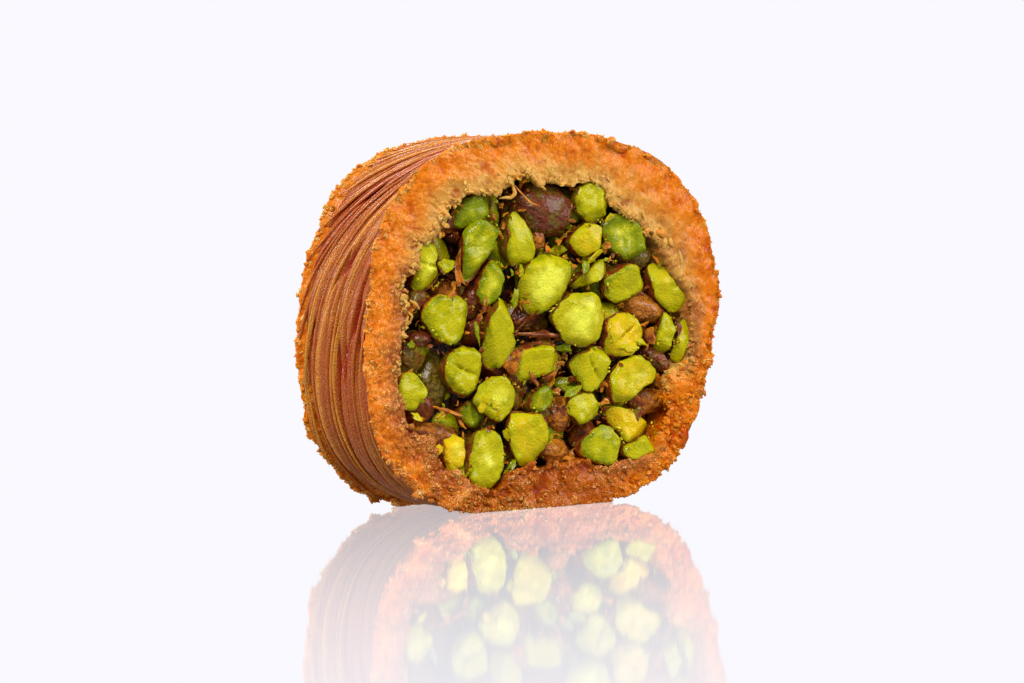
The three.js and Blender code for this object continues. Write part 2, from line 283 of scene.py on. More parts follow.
# Uncut kernels in their skins, seen through the gaps: across, up, half length, half breadth, turn
# in degrees, depth behind the cut, and skin from olive 0 through purple brown to tan 1
WHOLE_KERNELS = (
    (-0.2, 36.6, 4.6, 3.5, -12, 0.3, 0.36),
    (15.0, 24.1, 3.2, 1.6, -22, 1.0, 1.10),
    (-17.6, 16.2, 3.6, 2.5, 90, 2.4, 0.05),
    (1.6, 11.0, 2.4, 1.6, 80, 1.5, 0.90),
    (0.8, 6.6, 2.6, 1.5, -10, 1.4, 1.10),
    (-16.9, 9.3, 3.2, 1.7, -8, 1.6, 0.85),
    (15.8, 12.2, 3.0, 1.6, 8, 1.3, 1.00),
    (-1.2, 32.7, 1.4, 0.9, 90, 1.4, 1.00),
    (-20.9, 19.6, 1.4, 0.9, 90, 1.0, 0.25),
    (-19.0, 21.3, 1.4, 0.9, 0, 1.2, 0.50),
    (-3.0, 24.0, 2.6, 1.6, 25, 1.5, 0.55),
    (-11.4, 25.6, 2.0, 1.5, 70, 1.8, 0.55),
    (-19.6, 26.0, 1.6, 1.2, 60, 1.0, 0.30),
    (13.2, 31.0, 3.0, 1.6, -20, 1.4, 0.15),
    (17.0, 17.3, 1.8, 1.2, -35, 0.6, 0.50),
    (-14.2, 35.2, 1.8, 1.3, 30, 1.5, 0.70),
)

# Torn bits of kernel and skin that stand out between the kernels: across, up, half length, half
# breadth, turn in degrees, depth, skin share, ripeness, and tone of the skin
SLIVERS = (
    (-15.8, 12.7, 2.3, 0.35, -18, 0.2, 1.0, 0.5, 1.00), (-16.4, 12.0, 1.0, 0.5, 20, 0.3, 0.5, 0.6, 0.9),
    (-5.0, 26.0, 1.5, 0.5, 75, 0.4, 0.0, 0.2, 0.5), (-10.9, 22.1, 1.9, 0.45, 102, 0.3, 0.0, 0.2, 0.5),
    (-4.0, 29.0, 1.0, 0.35, 80, 0.3, 0.0, 0.5, 0.5), (9.8, 35.5, 1.0, 0.6, 30, 0.2, 0.0, 0.8, 0.5),
    (9.5, 32.0, 0.9, 0.5, 10, 0.3, 0.9, 0.6, 1.0), (-20.0, 12.2, 0.9, 0.5, -20, 0.2, 0.0, 0.8, 0.5),
    (-17.0, 8.0, 1.0, 0.5, 40, 0.3, 0.0, 0.9, 0.5), (14.5, 19.8, 1.2, 0.6, -20, 0.0, 0.0, 0.8, 0.5),
    (12.6, 19.3, 1.5, 0.6, 10, -0.1, 0.0, 0.7, 0.5), (16.0, 20.8, 1.2, 0.6, -70, 0.3, 0.8, 0.5, 0.9),
    (-6.6, 9.4, 1.2, 0.45, -62, 0.2, 0.0, 0.8, 0.5), (-13.6, 29.4, 3.0, 0.5, 100, 0.8, 1.0, 0.5, 0.95),
    (-14.6, 26.4, 1.4, 0.6, 60, 0.4, 1.0, 0.5, 0.9), (-3.2, 23.2, 2.6, 0.6, 35, 0.5, 1.0, 0.3, 0.55),
    (-1.6, 21.3, 3.9, 0.5, -3, 0.5, 1.0, 0.3, 0.7), (-20.6, 25.0, 1.2, 0.6, 30, 0.5, 1.0, 0.5, 1.0),
    (17.6, 17.4, 1.5, 0.8, -30, 0.1, 1.0, 0.3, 0.4), (3.5, 14.2, 1.4, 0.5, 20, 0.7, 0.2, 0.2, 0.7),
    (5.5, 13.2, 1.5, 0.4, -40, 0.9, 0.8, 0.5, 0.8), (0.2, 16.0, 1.5, 0.4, 15, 0.6, 0.9, 0.5, 0.9),
    (-2.2, 15.6, 1.3, 0.4, -50, 0.5, 1.0, 0.5, 0.8), (13.0, 13.0, 2.2, 0.5, -30, 0.5, 1.0, 0.3, 0.6),
    (7.6, 30.8, 1.6, 0.5, 35, 0.5, 0.4, 0.6, 0.8), (-9.6, 25.0, 1.6, 0.5, 70, 0.4, 1.0, 0.5, 0.8),
    (-9.4, 14.0, 1.0, 0.7, 40, -0.3, 0.0, 0.7, 0.5), (-8.2, 13.0, 0.9, 0.6, 20, -0.4, 0.0, 0.8, 0.5),
    (-7.8, 11.8, 0.9, 0.5, 50, -0.3, 0.0, 0.8, 0.5), (-10.2, 12.9, 0.9, 0.5, 60, -0.1, 0.0, 0.8, 0.5),
)

# Dough that came loose at the filling's rim: breadth, tone from cream 0 to brown 1, and its path as
# (across, up, depth behind the cut)
LOOSE_DOUGH = (
    (0.22, 0.9, ((-3.1, 40.9, 0.2), (-4.5, 40.7, -0.3), (-5.9, 40.0, -0.4), (-6.8, 39.1, 0.3))),
    (0.46, 0.0, ((-5.9, 39.9, 0.4), (-5.0, 39.6, -0.2), (-4.7, 38.7, -0.3), (-5.3, 38.2, -0.2),
        (-7.2, 38.0, 0.3))),
    (0.20, 0.8, ((-5.1, 40.0, 0.0), (-3.7, 38.6, 0.0), (-2.2, 37.5, -0.1), (-1.0, 37.0, 0.1))),
    (0.70, 0.1, ((18.3, 33.2, 0.3), (18.6, 32.2, -0.3), (18.2, 31.3, 0.0))),
    (0.60, 0.2, ((19.3, 33.0, 0.2), (19.6, 31.9, -0.3), (20.3, 31.3, 0.2))),
    (0.45, 0.2, ((20.6, 31.8, 0.1), (21.2, 30.2, -0.3), (21.3, 28.6, 0.2))),
    (0.40, 0.5, ((19.9, 30.9, 0.3), (20.5, 29.6, -0.1), (20.4, 28.3, 0.3))),
    (0.80, 0.6, ((17.0, 33.8, 0.3), (18.0, 33.4, -0.3), (19.0, 33.0, 0.2))),
    (0.35, 0.0, ((-20.9, 24.9, 0.2), (-20.2, 24.3, -0.4), (-20.7, 23.4, 0.1))),
    (0.40, 0.1, ((-20.6, 26.2, 0.3), (-19.6, 25.6, -0.2), (-19.2, 25.0, 0.4))),
)


def linear(code):
    """Linear colour with alpha of an sRGB hex code."""
    parts = [int(code[i : i + 2], 16) / 255 for i in (1, 3, 5)]
    return [p / 12.92 if p <= 0.04045 else ((p + 0.055) / 1.055) ** 2.4 for p in parts] + [1.0]


def colour(label, code, description):
    return FloatVectorProperty(
        name=label, description=description, default=linear(code), size=4, min=0, max=1, subtype="COLOR"
    )


def length(label, size, description):
    return FloatProperty(name=label, description=description, default=size * MM, min=0, unit="LENGTH")


def amount(label, count, description):
    return IntProperty(name=label, description=description, default=count, min=0, subtype="UNSIGNED")


class BormaSizes(bpy.types.PropertyGroup):
    strand_width: length("Strand width", 0.38, "Breadth of one strand of dough")
    crumb_size: length("Crumb size", 0.24, "Breadth of a usual crumb on the cuts")
    chunk_size: length("Chunk size", 0.62, "Breadth of the coarse crumbs where the cuts tore")
    kernel_gap: length("Kernel gap", 0.45, "Room between the kernels of the far cut")
    syrup_depth: length("Syrup depth", 4.4, "How far the syrupy paste lies behind the cuts")
    flake_size: length("Flake size", 0.8, "Breadth of the dry flakes that stand up round the filling")
    flake_count: amount("Flakes", 420, "Dry flakes round the filling")
    strand_count: amount("Strands", 45, "Single strands over the bundles")
    crumb_count: amount("Crumbs", 5000, "Fine crumbs on the cuts")
    chunk_count: amount("Chunks", 3200, "Coarse crumbs on the cuts")


class BormaColours(bpy.types.PropertyGroup):
    crust: colour("Crust", "#e07a06", "Dough near the outside of the roll")
    rust: colour("Rust", "#c45604", "Dough near the outside where it caught the heat")
    cream: colour("Cream", "#d29e48", "Soft dough next to the filling, at the top")
    soaked: colour("Soaked", "#a86028", "Dough next to the filling, at the sides")
    # The syrup tint also paints shade into the hollows of the cuts
    syrup_and_shade_tint: colour("Syrup tint", "#d4946c", "What syrup in the hollows does to the dough's colour")
    # Sugar is also the colour of the painted glints on the cuts
    sugar: colour("Sugar", "#f8bc66", "Grains where syrup dried to sugar")
    # Toasted also stands for painted shade at the underside, on top of the syrup-soaked colour
    toasted_and_shaded: colour("Toasted", "#a84e04", "Dough that lay in the syrup at the underside")
    # Dark strand is also the painted shade in the grooves between bundles
    dark_strand_and_groove_shade: colour("Dark strand", "#a43000", "The brownest strands")
    strand_amber: colour("Amber strand", "#b85e1a", "Most strands")
    strand_gold: colour("Gold strand", "#de9030", "The palest strands")
    kernel_green: colour("Green kernel", "#7c8a00", "Unripe, greenest kernels")
    kernel_lime: colour("Lime kernel", "#bcb400", "Usual kernels")
    kernel_yellow: colour("Yellow kernel", "#e0ba08", "The ripest kernels")
    kernel_pale: colour("Pale kernel", "#f0f04c", "Middle of a fresh cut")
    skin_olive: colour("Olive skin", "#7c6412", "Skin soaked until the green shows through")
    skin_purple: colour("Purple skin", "#7c3416", "Usual skin")
    skin_tan: colour("Tan skin", "#c8781a", "Dry skin")
    # Syrup is nearly black, partly as painted shade deep in the filling's gaps
    syrup: colour("Syrup", "#2a1403", "Syrup and ground nuts deep in the filling")
    backdrop: colour("Backdrop", "#f9f9ff", "Studio floor and surroundings")


# ---- Shape of the roll ----


def superellipse(angle, width, height):
    """Radius of an oval that is squarer than an ellipse."""
    across = np.abs(np.cos(angle)) / (width / 2)
    up = np.abs(np.sin(angle)) / (height / 2)
    return (across**SQUARENESS + up**SQUARENESS) ** (-1 / SQUARENESS)


def hump(angle, centre, spread):
    """1 at the centre angle, falling to 0 over the spread. Centre and spread are in degrees."""
    away = np.angle(np.exp(1j * (angle - math.radians(centre))))
    return np.exp(-((away / math.radians(spread)) ** 2))


def circle(count):
    """Angles spread evenly round a full turn."""
    return np.arange(count) / count * TURN


def unit(vectors):
    """The vectors at length 1, or at 0 where they had no length."""
    return vectors / np.maximum(np.linalg.norm(vectors, axis=-1, keepdims=True), 1e-9)


def with_third(flat, third):
    """Points in a plane with a third coordinate."""
    return np.concatenate([flat, np.broadcast_to(third, (*flat.shape[:-1], 1))], axis=-1)


def along_and_across(points, way):
    """How far points of a plane lie along a direction, and how far across it."""
    x, y = points[..., 0], points[..., 1]
    return x * math.cos(way) + y * math.sin(way), y * math.cos(way) - x * math.sin(way)


def fade(distance, reach):
    """1 at no distance, falling to 0 past the reach."""
    return np.exp(-((distance / reach) ** 2))


def bulges(angle, listed):
    """The sum of humps listed as (centre, spread, height)."""
    return sum(height * hump(angle, centre, spread) for centre, spread, height in listed)


def outer_radius(angle, along):
    """Radius of the roll's outside, which changes a little from the shown cut to the back one."""
    back = along / LENGTH + 0.5
    sides = bulges(angle, OUTER_BULGES) + back * bulges(angle, BACK_BULGES)
    return superellipse(angle, WIDTH, HEIGHT) + sides - CRUMB_ROOM


@functools.cache
def rim_table():
    """The shown cut's inner rim as sorted angles and radii round the roll."""
    corners = np.array(RIM) - (0, AXIS_UP)
    turned = np.arctan2(corners[:, 1], corners[:, 0]) % TURN
    order = np.argsort(turned)
    return turned[order], np.hypot(*corners.T)[order]


def hole_radius(angle, along=0.0):
    """Radius of the hole, which is torn along the listed rim at the shown cut."""
    smooth = superellipse(angle, HOLE_WIDTH, HOLE_HEIGHT) + bulges(angle, HOLE_BULGES)
    turned, radius = rim_table()
    torn = np.interp(angle % TURN, turned, radius, period=TURN)
    return smooth + (torn - smooth) * fade(along + LENGTH / 2, 1.6)


@functools.cache
def axis_across():
    """Where the roll's axis lies in the frame, whose middle is the middle of the wall's box."""
    low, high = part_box("kadaif_wall")
    angle = np.linspace(0, TURN, 720)
    across = outer_radius(angle, 0) * np.cos(angle)
    return (low.x + high.x) / 2 / MM - (across.min() + across.max()) / 2


def on_roll(angle, radius, along):
    """Points at an angle and a radius round the roll, pressed flat where they would meet the floor."""
    across = radius * np.cos(angle) + axis_across()
    up = np.maximum(AXIS_UP + radius * np.sin(angle), 0.0)
    return np.stack(np.broadcast_arrays(across, along, up), axis=-1)


def behind_cut(across, up, depth, side=-1):
    """Points at a depth behind a cut. Behind the shown cut they move back along the line of sight, so
    that across and up are where they line up with it."""
    across = axis_across() + across + (SIGHT * depth if side < 0 else 0)
    return np.stack(np.broadcast_arrays(across, side * (LENGTH / 2 - depth), up), axis=-1)


# ---- Unevenness ----


def chance(cells, seed):
    """A repeatable number from 0 to 1 for each whole-number cell."""
    mixed = cells[..., 0] * 73856093 ^ cells[..., 1] * 19349663 ^ cells[..., 2] * 83492791
    mixed = (mixed + seed * 2654435761) & 0xFFFFFFFF
    for _ in range(2):
        mixed = ((mixed ^ (mixed >> 15)) * 739982445) & 0xFFFFFFFF
    return ((mixed ^ (mixed >> 13)) & 0xFFFFF) / 0xFFFFF


def lumps(points, size, seed=0):
    """Smooth unevenness from -1 to 1, with lumps of that size."""
    place = points / size
    cell = np.floor(place).astype(np.int64)
    part = place - cell
    blend = part * part * (3 - 2 * part)
    total = np.zeros(points.shape[:-1])
    for corner in itertools.product((0, 1), repeat=3):
        weight = np.prod(np.where(corner, blend, 1 - blend), axis=-1)
        total += weight * (2 * chance(cell + np.array(corner), seed) - 1)
    return total


def rough(points, layers, seed):
    """Lumps of several sizes on top of each other, with seeds that count up."""
    return sum(height * lumps(points, size, seed + k) for k, (size, height) in enumerate(layers))


def grains(points, size, seed=0):
    """How near each point is to the middle of its nearest grain, from 1 down to about 0, and that
    grain's own number from 0 to 1."""
    place = points / size
    cell = np.floor(place).astype(np.int64)
    nearest = np.full(points.shape[:-1], 9.0)
    tone = np.zeros(points.shape[:-1])
    for step in itertools.product((-1, 0, 1), repeat=3):
        other = cell + np.array(step)
        middle = other + np.stack([chance(other, seed + k) for k in range(3)], axis=-1)
        away = np.sum((place - middle) ** 2, axis=-1)
        nearer = away < nearest
        nearest = np.where(nearer, away, nearest)
        tone = np.where(nearer, chance(other, seed + 3), tone)
    return np.maximum(1 - nearest, 0), tone


def long_cells(across, along, seed):
    """Cells packed over a sheet, each one unit across and along: how far inside its cell each point
    is, 0 at the edge, then where it lies across the cell, and two numbers of its own from 0 to 1."""
    cell = np.floor(np.stack(np.broadcast_arrays(across, along, 0 * across), axis=-1)).astype(np.int64)
    second = np.full(cell.shape[:-1], 9.0)
    nearest = np.stack([second, 0 * second, 0 * second, 0 * second])
    for step in itertools.product((-1, 0, 1), (-1, 0, 1), (0,)):
        other = cell + np.array(step)
        off = across - other[..., 0] - 0.15 - 0.7 * chance(other, seed)
        away = np.hypot(off, along - other[..., 1] - chance(other, seed + 1))
        nearer = away < nearest[0]
        second = np.where(nearer, nearest[0], np.minimum(second, away))
        nearest = np.where(nearer, (away, off, chance(other, seed + 2), chance(other, seed + 3)), nearest)
    return second - nearest[0], *nearest[1:]


def smooth_step(low, high, value):
    """0 below the low value and 1 above the high one, smooth in between."""
    part = np.clip((value - low) / (high - low), 0, 1)
    return part * part * (3 - 2 * part)


# ---- Meshes ----


def sheet_faces(rows, columns, wrap_rows=False):
    """Triangles over a grid of points that is joined round its columns, and its rows where said."""
    r, c = np.meshgrid(np.arange(rows if wrap_rows else rows - 1), np.arange(columns), indexing="ij")
    here = r * columns + c
    beside = r * columns + (c + 1) % columns
    above = ((r + 1) % rows) * columns + c
    across = ((r + 1) % rows) * columns + (c + 1) % columns
    return np.stack([here, beside, across, here, across, above], axis=-1).reshape(-1, 3)


def closed_rings(rings, marks):
    """A closed skin over rings of points, with a fan across each end. Marks are {name: a value or
    one for each ring or point}."""
    count, around = rings.shape[:2]
    points = np.concatenate([rings.reshape(-1, 3), [rings[0].mean(0), rings[-1].mean(0)]])
    here = np.arange(around)
    beside = (here + 1) % around
    last = (count - 1) * around
    first_fan = np.stack([np.full(around, count * around), beside, here], axis=-1)
    last_fan = np.stack([np.full(around, count * around + 1), last + here, last + beside], axis=-1)
    faces = np.concatenate([sheet_faces(count, around), first_fan, last_fan])
    full = {}
    for name, value in marks.items():
        spread = np.broadcast_to(value, (count, around))
        full[name] = np.concatenate([spread.ravel(), [spread[0].mean(), spread[-1].mean()]])
    return points, outward(points, faces), full


def wrapped_sheet(points, marks):
    """A closed skin over a grid of points that is joined round both ways."""
    flat = points.reshape(-1, 3)
    full = {name: np.broadcast_to(value, points.shape[:2]).ravel() for name, value in marks.items()}
    return flat, outward(flat, sheet_faces(*points.shape[:2], wrap_rows=True)), full


def tube(path, side, up, wide, high, sides):
    """Rings of points round a path, by its half breadths to the side and upwards."""
    turn = circle(sides)
    aside = np.cos(turn)[:, None] * side[:, None] * wide[:, None, None]
    return path[:, None] + aside + np.sin(turn)[:, None] * up[:, None] * high[:, None, None]


def outward(points, faces):
    """The faces, turned over if they enclose a negative volume."""
    a, b, c = (points[faces[:, k]] for k in range(3))
    volume = np.einsum("ij,ij->i", a, np.cross(b, c)).sum()
    return faces if volume > 0 else faces[:, ::-1]


def joined(parts):
    """One part out of many, each a triple of points, faces and marks."""
    starts = np.cumsum([0] + [len(points) for points, _, _ in parts[:-1]])
    points = np.concatenate([part[0] for part in parts])
    faces = np.concatenate([part[1] + start for part, start in zip(parts, starts)])
    marks = {name: np.concatenate([part[2][name] for part in parts]) for name in parts[0][2]}
    return points, faces, marks


def add_piece(name, part, material, smooth=True):
    """Makes the object, rides it on the frame and hands it back."""
    points, faces, marks = part
    mesh = bpy.data.meshes.new(name)
    mesh.vertices.add(len(points))
    mesh.vertices.foreach_set("co", (points * MM).astype(np.float32).ravel())
    mesh.loops.add(faces.size)
    mesh.loops.foreach_set("vertex_index", faces.astype(np.int32).ravel())
    mesh.polygons.add(len(faces))
    mesh.polygons.foreach_set("loop_start", np.arange(0, faces.size, 3, dtype=np.int32))
    mesh.update(calc_edges=True)
    mesh.polygons.foreach_set("use_smooth", np.full(len(faces), smooth))
    for mark, values in marks.items():
        mesh.attributes.new(mark, "FLOAT", "POINT").data.foreach_set("value", values.astype(np.float32))
    mesh.materials.append(material)
    piece = bpy.data.objects.new(name, mesh)
    bpy.context.scene.collection.objects.link(piece)
    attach(piece, "root")
    return piece


# ---- Materials ----


def add(tree, kind, inputs=(), **settings):
    """Adds a node with its settings and its inputs, each a value or a socket to link, and hands
    back its first output."""
    node = tree.nodes.new("ShaderNode" + kind)
    for name, value in settings.items():
        setattr(node, name, value)
    for name, value in dict(inputs).items():
        if isinstance(value, bpy.types.NodeSocket):
            tree.links.new(value, node.inputs[name])
        else:
            node.inputs[name].default_value = value
    return next(socket for socket in node.outputs if socket.enabled)


def start_material(name, **sockets):
    """A new material with values on its shader's own sockets, and its node tree."""
    material = bpy.data.materials.new(name)
    material.use_nodes = True
    shader = material.node_tree.nodes["Principled BSDF"]
    for socket, value in sockets.items():
        shader.inputs[socket.replace("_", " ")].default_value = value
    return material, material.node_tree


def finish_material(tree, base, roughness, relief, depth):
    """Links the shader's colour, its roughness and a bump of that depth in millimetres."""
    shader = tree.nodes["Principled BSDF"].inputs
    bump = add(tree, "Bump", {"Strength": 1.0, "Distance": depth * MM, "Height": relief})
    # Syrup lies smoother than what it covers
    film = add(tree, "Bump", {"Strength": 1.0, "Distance": depth * FILM_SHARE * MM, "Height": relief})
    links = (("Base Color", base), ("Roughness", roughness), ("Normal", bump), ("Coat Normal", film))
    for name, socket in links:
        tree.links.new(socket, shader[name])


def unevenness(tree, size, detail=2.0, place=None):
    """Noise from 0 to 1 with features of that size in millimetres."""
    place = place or add(tree, "TexCoord").node.outputs["Object"]
    return add(tree, "TexNoise", {"Vector": place, "Scale": 1 / (size * MM), "Detail": detail})


def blended(tree, first, second, value, low, high):
    """One colour below a value and the other above it, over a soft edge."""
    part = add(tree, "MapRange", {0: value, 1: low, 2: high}, interpolation_type="SMOOTHSTEP")
    return add(tree, "Mix", {0: part, 6: first, 7: second}, data_type="RGBA")


def shifted(tree, value, change, amount):
    """A value moved by a 0 to 1 pattern, by up to half the amount either way."""
    centred = add(tree, "Math", {0: change, 1: 0.5}, operation="SUBTRACT")
    return add(tree, "Math", {0: centred, 1: amount, 2: value}, operation="MULTIPLY_ADD")


@functools.cache
def kadaif_crumb():
    """Shredded kadaif dough baked in clarified butter and cut: a sugary grain, orange where it
    browned, cream inside, brown below from pooled syrup and painted shade, darker in the hollows
    partly as painted shade, with painted glints on some grains and tiny facets that glint."""
    colours = bpy.context.scene.borma_colours
    material, tree = start_material(
        "Kadaif dough, baked and cut", IOR=1.45, Specular_IOR_Level=0.04, Coat_Weight=0.2,
        Coat_Roughness=0.12, Subsurface_Weight=0.6, Subsurface_Radius=(1.0, 0.5, 0.15),
        Subsurface_Scale=0.5 * MM,
    )
    marks = ("browned", "toast_and_shade", "tone", "high", "sugar_and_glint")
    browned, toast_and_shade, tone, high, sugar_and_glint = (add(tree, "Attribute", attribute_name=name) for name in marks)
    patch = unevenness(tree, 2.4, 3.0)
    speck = unevenness(tree, 0.5)
    # Real grains are near 0.1 mm, and these are drawn coarser so that they show
    place = add(tree, "TexCoord").node.outputs["Object"]
    grain = add(tree, "TexVoronoi", {"Vector": place, "Scale": 1 / (0.25 * MM)})
    grain_tones = grain.node.outputs["Color"]
    glint = add(tree, "SeparateColor", {0: grain_tones})
    # Toast and shade: darker towards the underside, partly syrup-soaked dough and partly painted shade
    toast_and_shade = shifted(tree, toast_and_shade, patch, 0.9)
    inner = blended(tree, colours.cream, colours.soaked, toast_and_shade, 0.1, 0.5)
    base = blended(tree, colours.crust, inner, shifted(tree, browned, patch, 0.9), 0.25, 0.95)
    rusty = shifted(tree, unevenness(tree, 1.9, 4.0), browned, -0.4)
    base = blended(tree, base, colours.rust, rusty, 0.6, 0.95)
    base = blended(tree, base, colours.toasted_and_shaded, toast_and_shade, 0.55, 1.1)
    own = shifted(tree, shifted(tree, shifted(tree, 0.5, tone, 0.5), speck, 0.8), glint, 0.5)
    shade = add(tree, "MapRange", {0: own, 1: 0.0, 2: 1.0, 3: 0.9, 4: 1.1})
    tinting = {"data_type": "RGBA", "blend_type": "MULTIPLY"}
    base = add(tree, "Mix", {0: 1.0, 6: base, 7: shade}, **tinting)
    # Hollows get brown syrup and painted shade, and what stands up gets dried sugar and painted glints
    hollow = shifted(tree, shifted(tree, high, speck, 0.6), unevenness(tree, 1.6), 1.1)
    syrup_and_shade_base = add(tree, "Mix", {0: 1.0, 6: base, 7: colours.syrup_and_shade_tint}, **tinting)
    base = blended(tree, syrup_and_shade_base, base, hollow, 0.0, 0.6)
    # Pale specks, partly dried sugar and partly painted glints, fewer in the hollows
    sparkle = shifted(tree, shifted(tree, unevenness(tree, 0.14, 1.0), hollow, 0.25), sugar_and_glint, 0.3)
    base = blended(tree, base, colours.sugar, sparkle, 0.62, 0.84)
    wet = shifted(tree, toast_and_shade, glint, 0.8)
    roughness = add(tree, "MapRange", {0: wet, 1: 0.4, 2: 1.1, 3: 0.6, 4: 0.15})
    # Each grain is a little facet that leans its own way
    lean = add(tree, "VectorMath", {0: grain_tones, 1: (0.5, 0.5, 0.5)}, operation="SUBTRACT")
    inside = add(tree, "VectorMath", {0: place, 1: grain.node.outputs["Position"]}, operation="SUBTRACT")
    facet = add(tree, "VectorMath", {0: inside, 1: lean}, operation="DOT_PRODUCT")
    relief = add(tree, "Math", {0: facet, 1: 1.4 / MM, 2: speck}, operation="MULTIPLY_ADD")
    finish_material(tree, base, roughness, relief, 0.14)
    return material


@functools.cache
def kadaif_strand():
    """Long kadaif strands, pressed flat, browned and brushed with syrup: translucent amber with a
    waxy gloss that turns pale where it catches the light."""
    colours = bpy.context.scene.borma_colours
    material, tree = start_material(
        "Kadaif strands, syrup brushed", IOR=1.48, Specular_IOR_Level=0.18, Coat_Weight=0.12,
        Coat_Roughness=0.12, Subsurface_Weight=0.4, Subsurface_Radius=(1.0, 0.4, 0.1),
        Subsurface_Scale=0.5 * MM,
    )
    marks = ("lane", "run", "tone")
    lane, run, tone = (add(tree, "Attribute", attribute_name=name) for name in marks)
    # Lanes lie across the strands and runs along them, so the streaks follow every bend
    streak = unevenness(tree, 1 / MM, 3.0, add(tree, "CombineXYZ", {0: lane, 1: run}))
    patch = unevenness(tree, 2.6, 3.0)
    mixed = shifted(tree, shifted(tree, tone, streak, 0.35), patch, 0.6)
    base = blended(tree, colours.dark_strand_and_groove_shade, colours.strand_amber, mixed, 0.0, 0.5)
    base = blended(tree, base, colours.strand_gold, mixed, 0.5, 1.1)
    # Where syrup dried the gloss is broad and pale, and elsewhere the dough is only waxy
    roughness = add(tree, "MapRange", {0: unevenness(tree, 3.2, 3.0), 1: 0.4, 2: 0.62, 3: 0.25, 4: 0.6})
    grit = shifted(tree, streak, unevenness(tree, 0.22, 3.0), 2.4)
    finish_material(tree, base, roughness, grit, 0.19)
    return material


def skin_colour(tree, tone):
    """Pistachio skin: olive, purple brown and tan run into each other in patches."""
    colours = bpy.context.scene.borma_colours
    mixed = shifted(tree, tone, unevenness(tree, 1.1, 3.0), 1.6)
    lower = blended(tree, colours.skin_olive, colours.skin_purple, mixed, 0.1, 0.5)
    return blended(tree, lower, colours.skin_tan, mixed, 0.6, 1.1)


@functools.cache
def pistachio_kernel():
    """Raw pistachio kernels cut through with a knife: waxy green flesh that lets light in, paler
    in the middle and streaked along the cut, with a torn skin round it that syrup makes shine."""
    colours = bpy.context.scene.borma_colours
    material, tree = start_material(
        "Pistachio kernel, knife cut", IOR=1.46, Specular_IOR_Level=0.05, Coat_Weight=0.28,
        Coat_Roughness=0.05, Subsurface_Weight=0.45, Subsurface_Radius=(1.0, 1.0, 0.1),
        Subsurface_Scale=0.45 * MM,
    )
    marks = ("ripe", "pale", "skin", "tone", "across", "down")
    ripe, pale, skin, tone, across, down = (add(tree, "Attribute", attribute_name=name) for name in marks)
    # Streaks lie along each kernel, about 0.4 mm wide and 3 mm long
    streak = unevenness(tree, 0.4 / MM, 3.0, add(tree, "CombineXYZ", {0: across, 1: down}))
    patch = unevenness(tree, 1.5, 3.0)
    fine = unevenness(tree, 0.25, 3.0)
    ripe = shifted(tree, shifted(tree, shifted(tree, ripe, patch, 1.0), streak, 0.15), fine, 0.6)
    flesh = blended(tree, colours.kernel_green, colours.kernel_lime, ripe, 0.0, 0.55)
    flesh = blended(tree, flesh, colours.kernel_yellow, ripe, 0.55, 1.15)
    pale = shifted(tree, shifted(tree, pale, patch, 0.9), streak, 0.15)
    flesh = blended(tree, flesh, colours.kernel_pale, pale, 0.3, 1.0)
    skin = shifted(tree, shifted(tree, skin, fine, 0.5), patch, 0.5)
    base = blended(tree, flesh, skin_colour(tree, tone), skin, 0.42, 0.58)
    roughness = add(tree, "MapRange", {0: patch, 1: 0.35, 2: 0.65, 3: 0.25, 4: 0.5})
    relief = shifted(tree, shifted(tree, 0.5, fine, 1.2), streak, 0.7)
    finish_material(tree, base, roughness, relief, 0.18)
    return material


@functools.cache
def pistachio_skin():
    """Whole pistachio kernels in their skins, soaked in syrup: wrinkled, dark and wet."""
    material, tree = start_material(
        "Pistachio skin, soaked in syrup", IOR=1.46, Specular_IOR_Level=0.15, Coat_Weight=0.45,
        Coat_Roughness=0.08, Subsurface_Weight=0.15, Subsurface_Radius=(1.0, 0.6, 0.1),
        Subsurface_Scale=0.8 * MM,
    )
    base = skin_colour(tree, add(tree, "Attribute", attribute_name="tone"))
    wrinkle = unevenness(tree, 0.6, 4.0)
    roughness = add(tree, "MapRange", {0: wrinkle, 1: 0.4, 2: 0.6, 3: 0.15, 4: 0.35})
    finish_material(tree, base, roughness, wrinkle, 1.5)
    return material


@functools.cache
def syrup_and_shade_paste():
    """Sugar syrup over ground nuts: nearly black in the gaps, partly its own colour and partly painted
    shade, and wet enough to sparkle.
    """
    colours = bpy.context.scene.borma_colours
    material, tree = start_material("Sugar syrup and ground nuts", IOR=1.4, Specular_IOR_Level=0.3)
    lump = unevenness(tree, 0.9, 4.0)
    base = blended(tree, colours.syrup, colours.skin_purple, lump, 0.5, 0.75)
    roughness = add(tree, "MapRange", {0: lump, 1: 0.3, 2: 0.7, 3: 0.3, 4: 0.15})
    finish_material(tree, base, roughness, lump, 0.5)
    return material


# ---- Pastry wall ----


def lip_height(angle, along):
    """The burr of crumbs round both cuts."""
    uneven = 0.65 + 0.35 * np.sin(5 * angle + 2) * np.sin(11 * angle)
    height = 0.45 + (along > 0) * bulges(angle, BACK_LIP)
    return height * uneven * fade(LENGTH / 2 - np.abs(along), 1.1)


def dough_radius(angle, along):
    """Radius of the dough's outside with its burr."""
    return outer_radius(angle, along) + lip_height(angle, along)


def burr_reach(angle, along):
    """How far the burr covers the strands from the cut: further where the back cut tore."""
    return np.where(along > 0, 0.9 + bulges(angle, BACK_BURR), 0.3)


@functools.cache
def drift_table():
    """Degrees from the seam all the way round, and how far a strand has moved towards the back."""
    degrees = np.linspace(SEAM, SEAM + 360, 721)
    rate = EVEN_DRIFT + bulges(np.radians(degrees), CROSSINGS)
    return degrees, np.cumsum(rate) * (degrees[1] - degrees[0])


def drift(angle):
    """How far a strand has moved towards the back by an angle."""
    degrees, moved = drift_table()
    return np.interp((np.degrees(angle) - SEAM) % 360 + SEAM, degrees, moved)


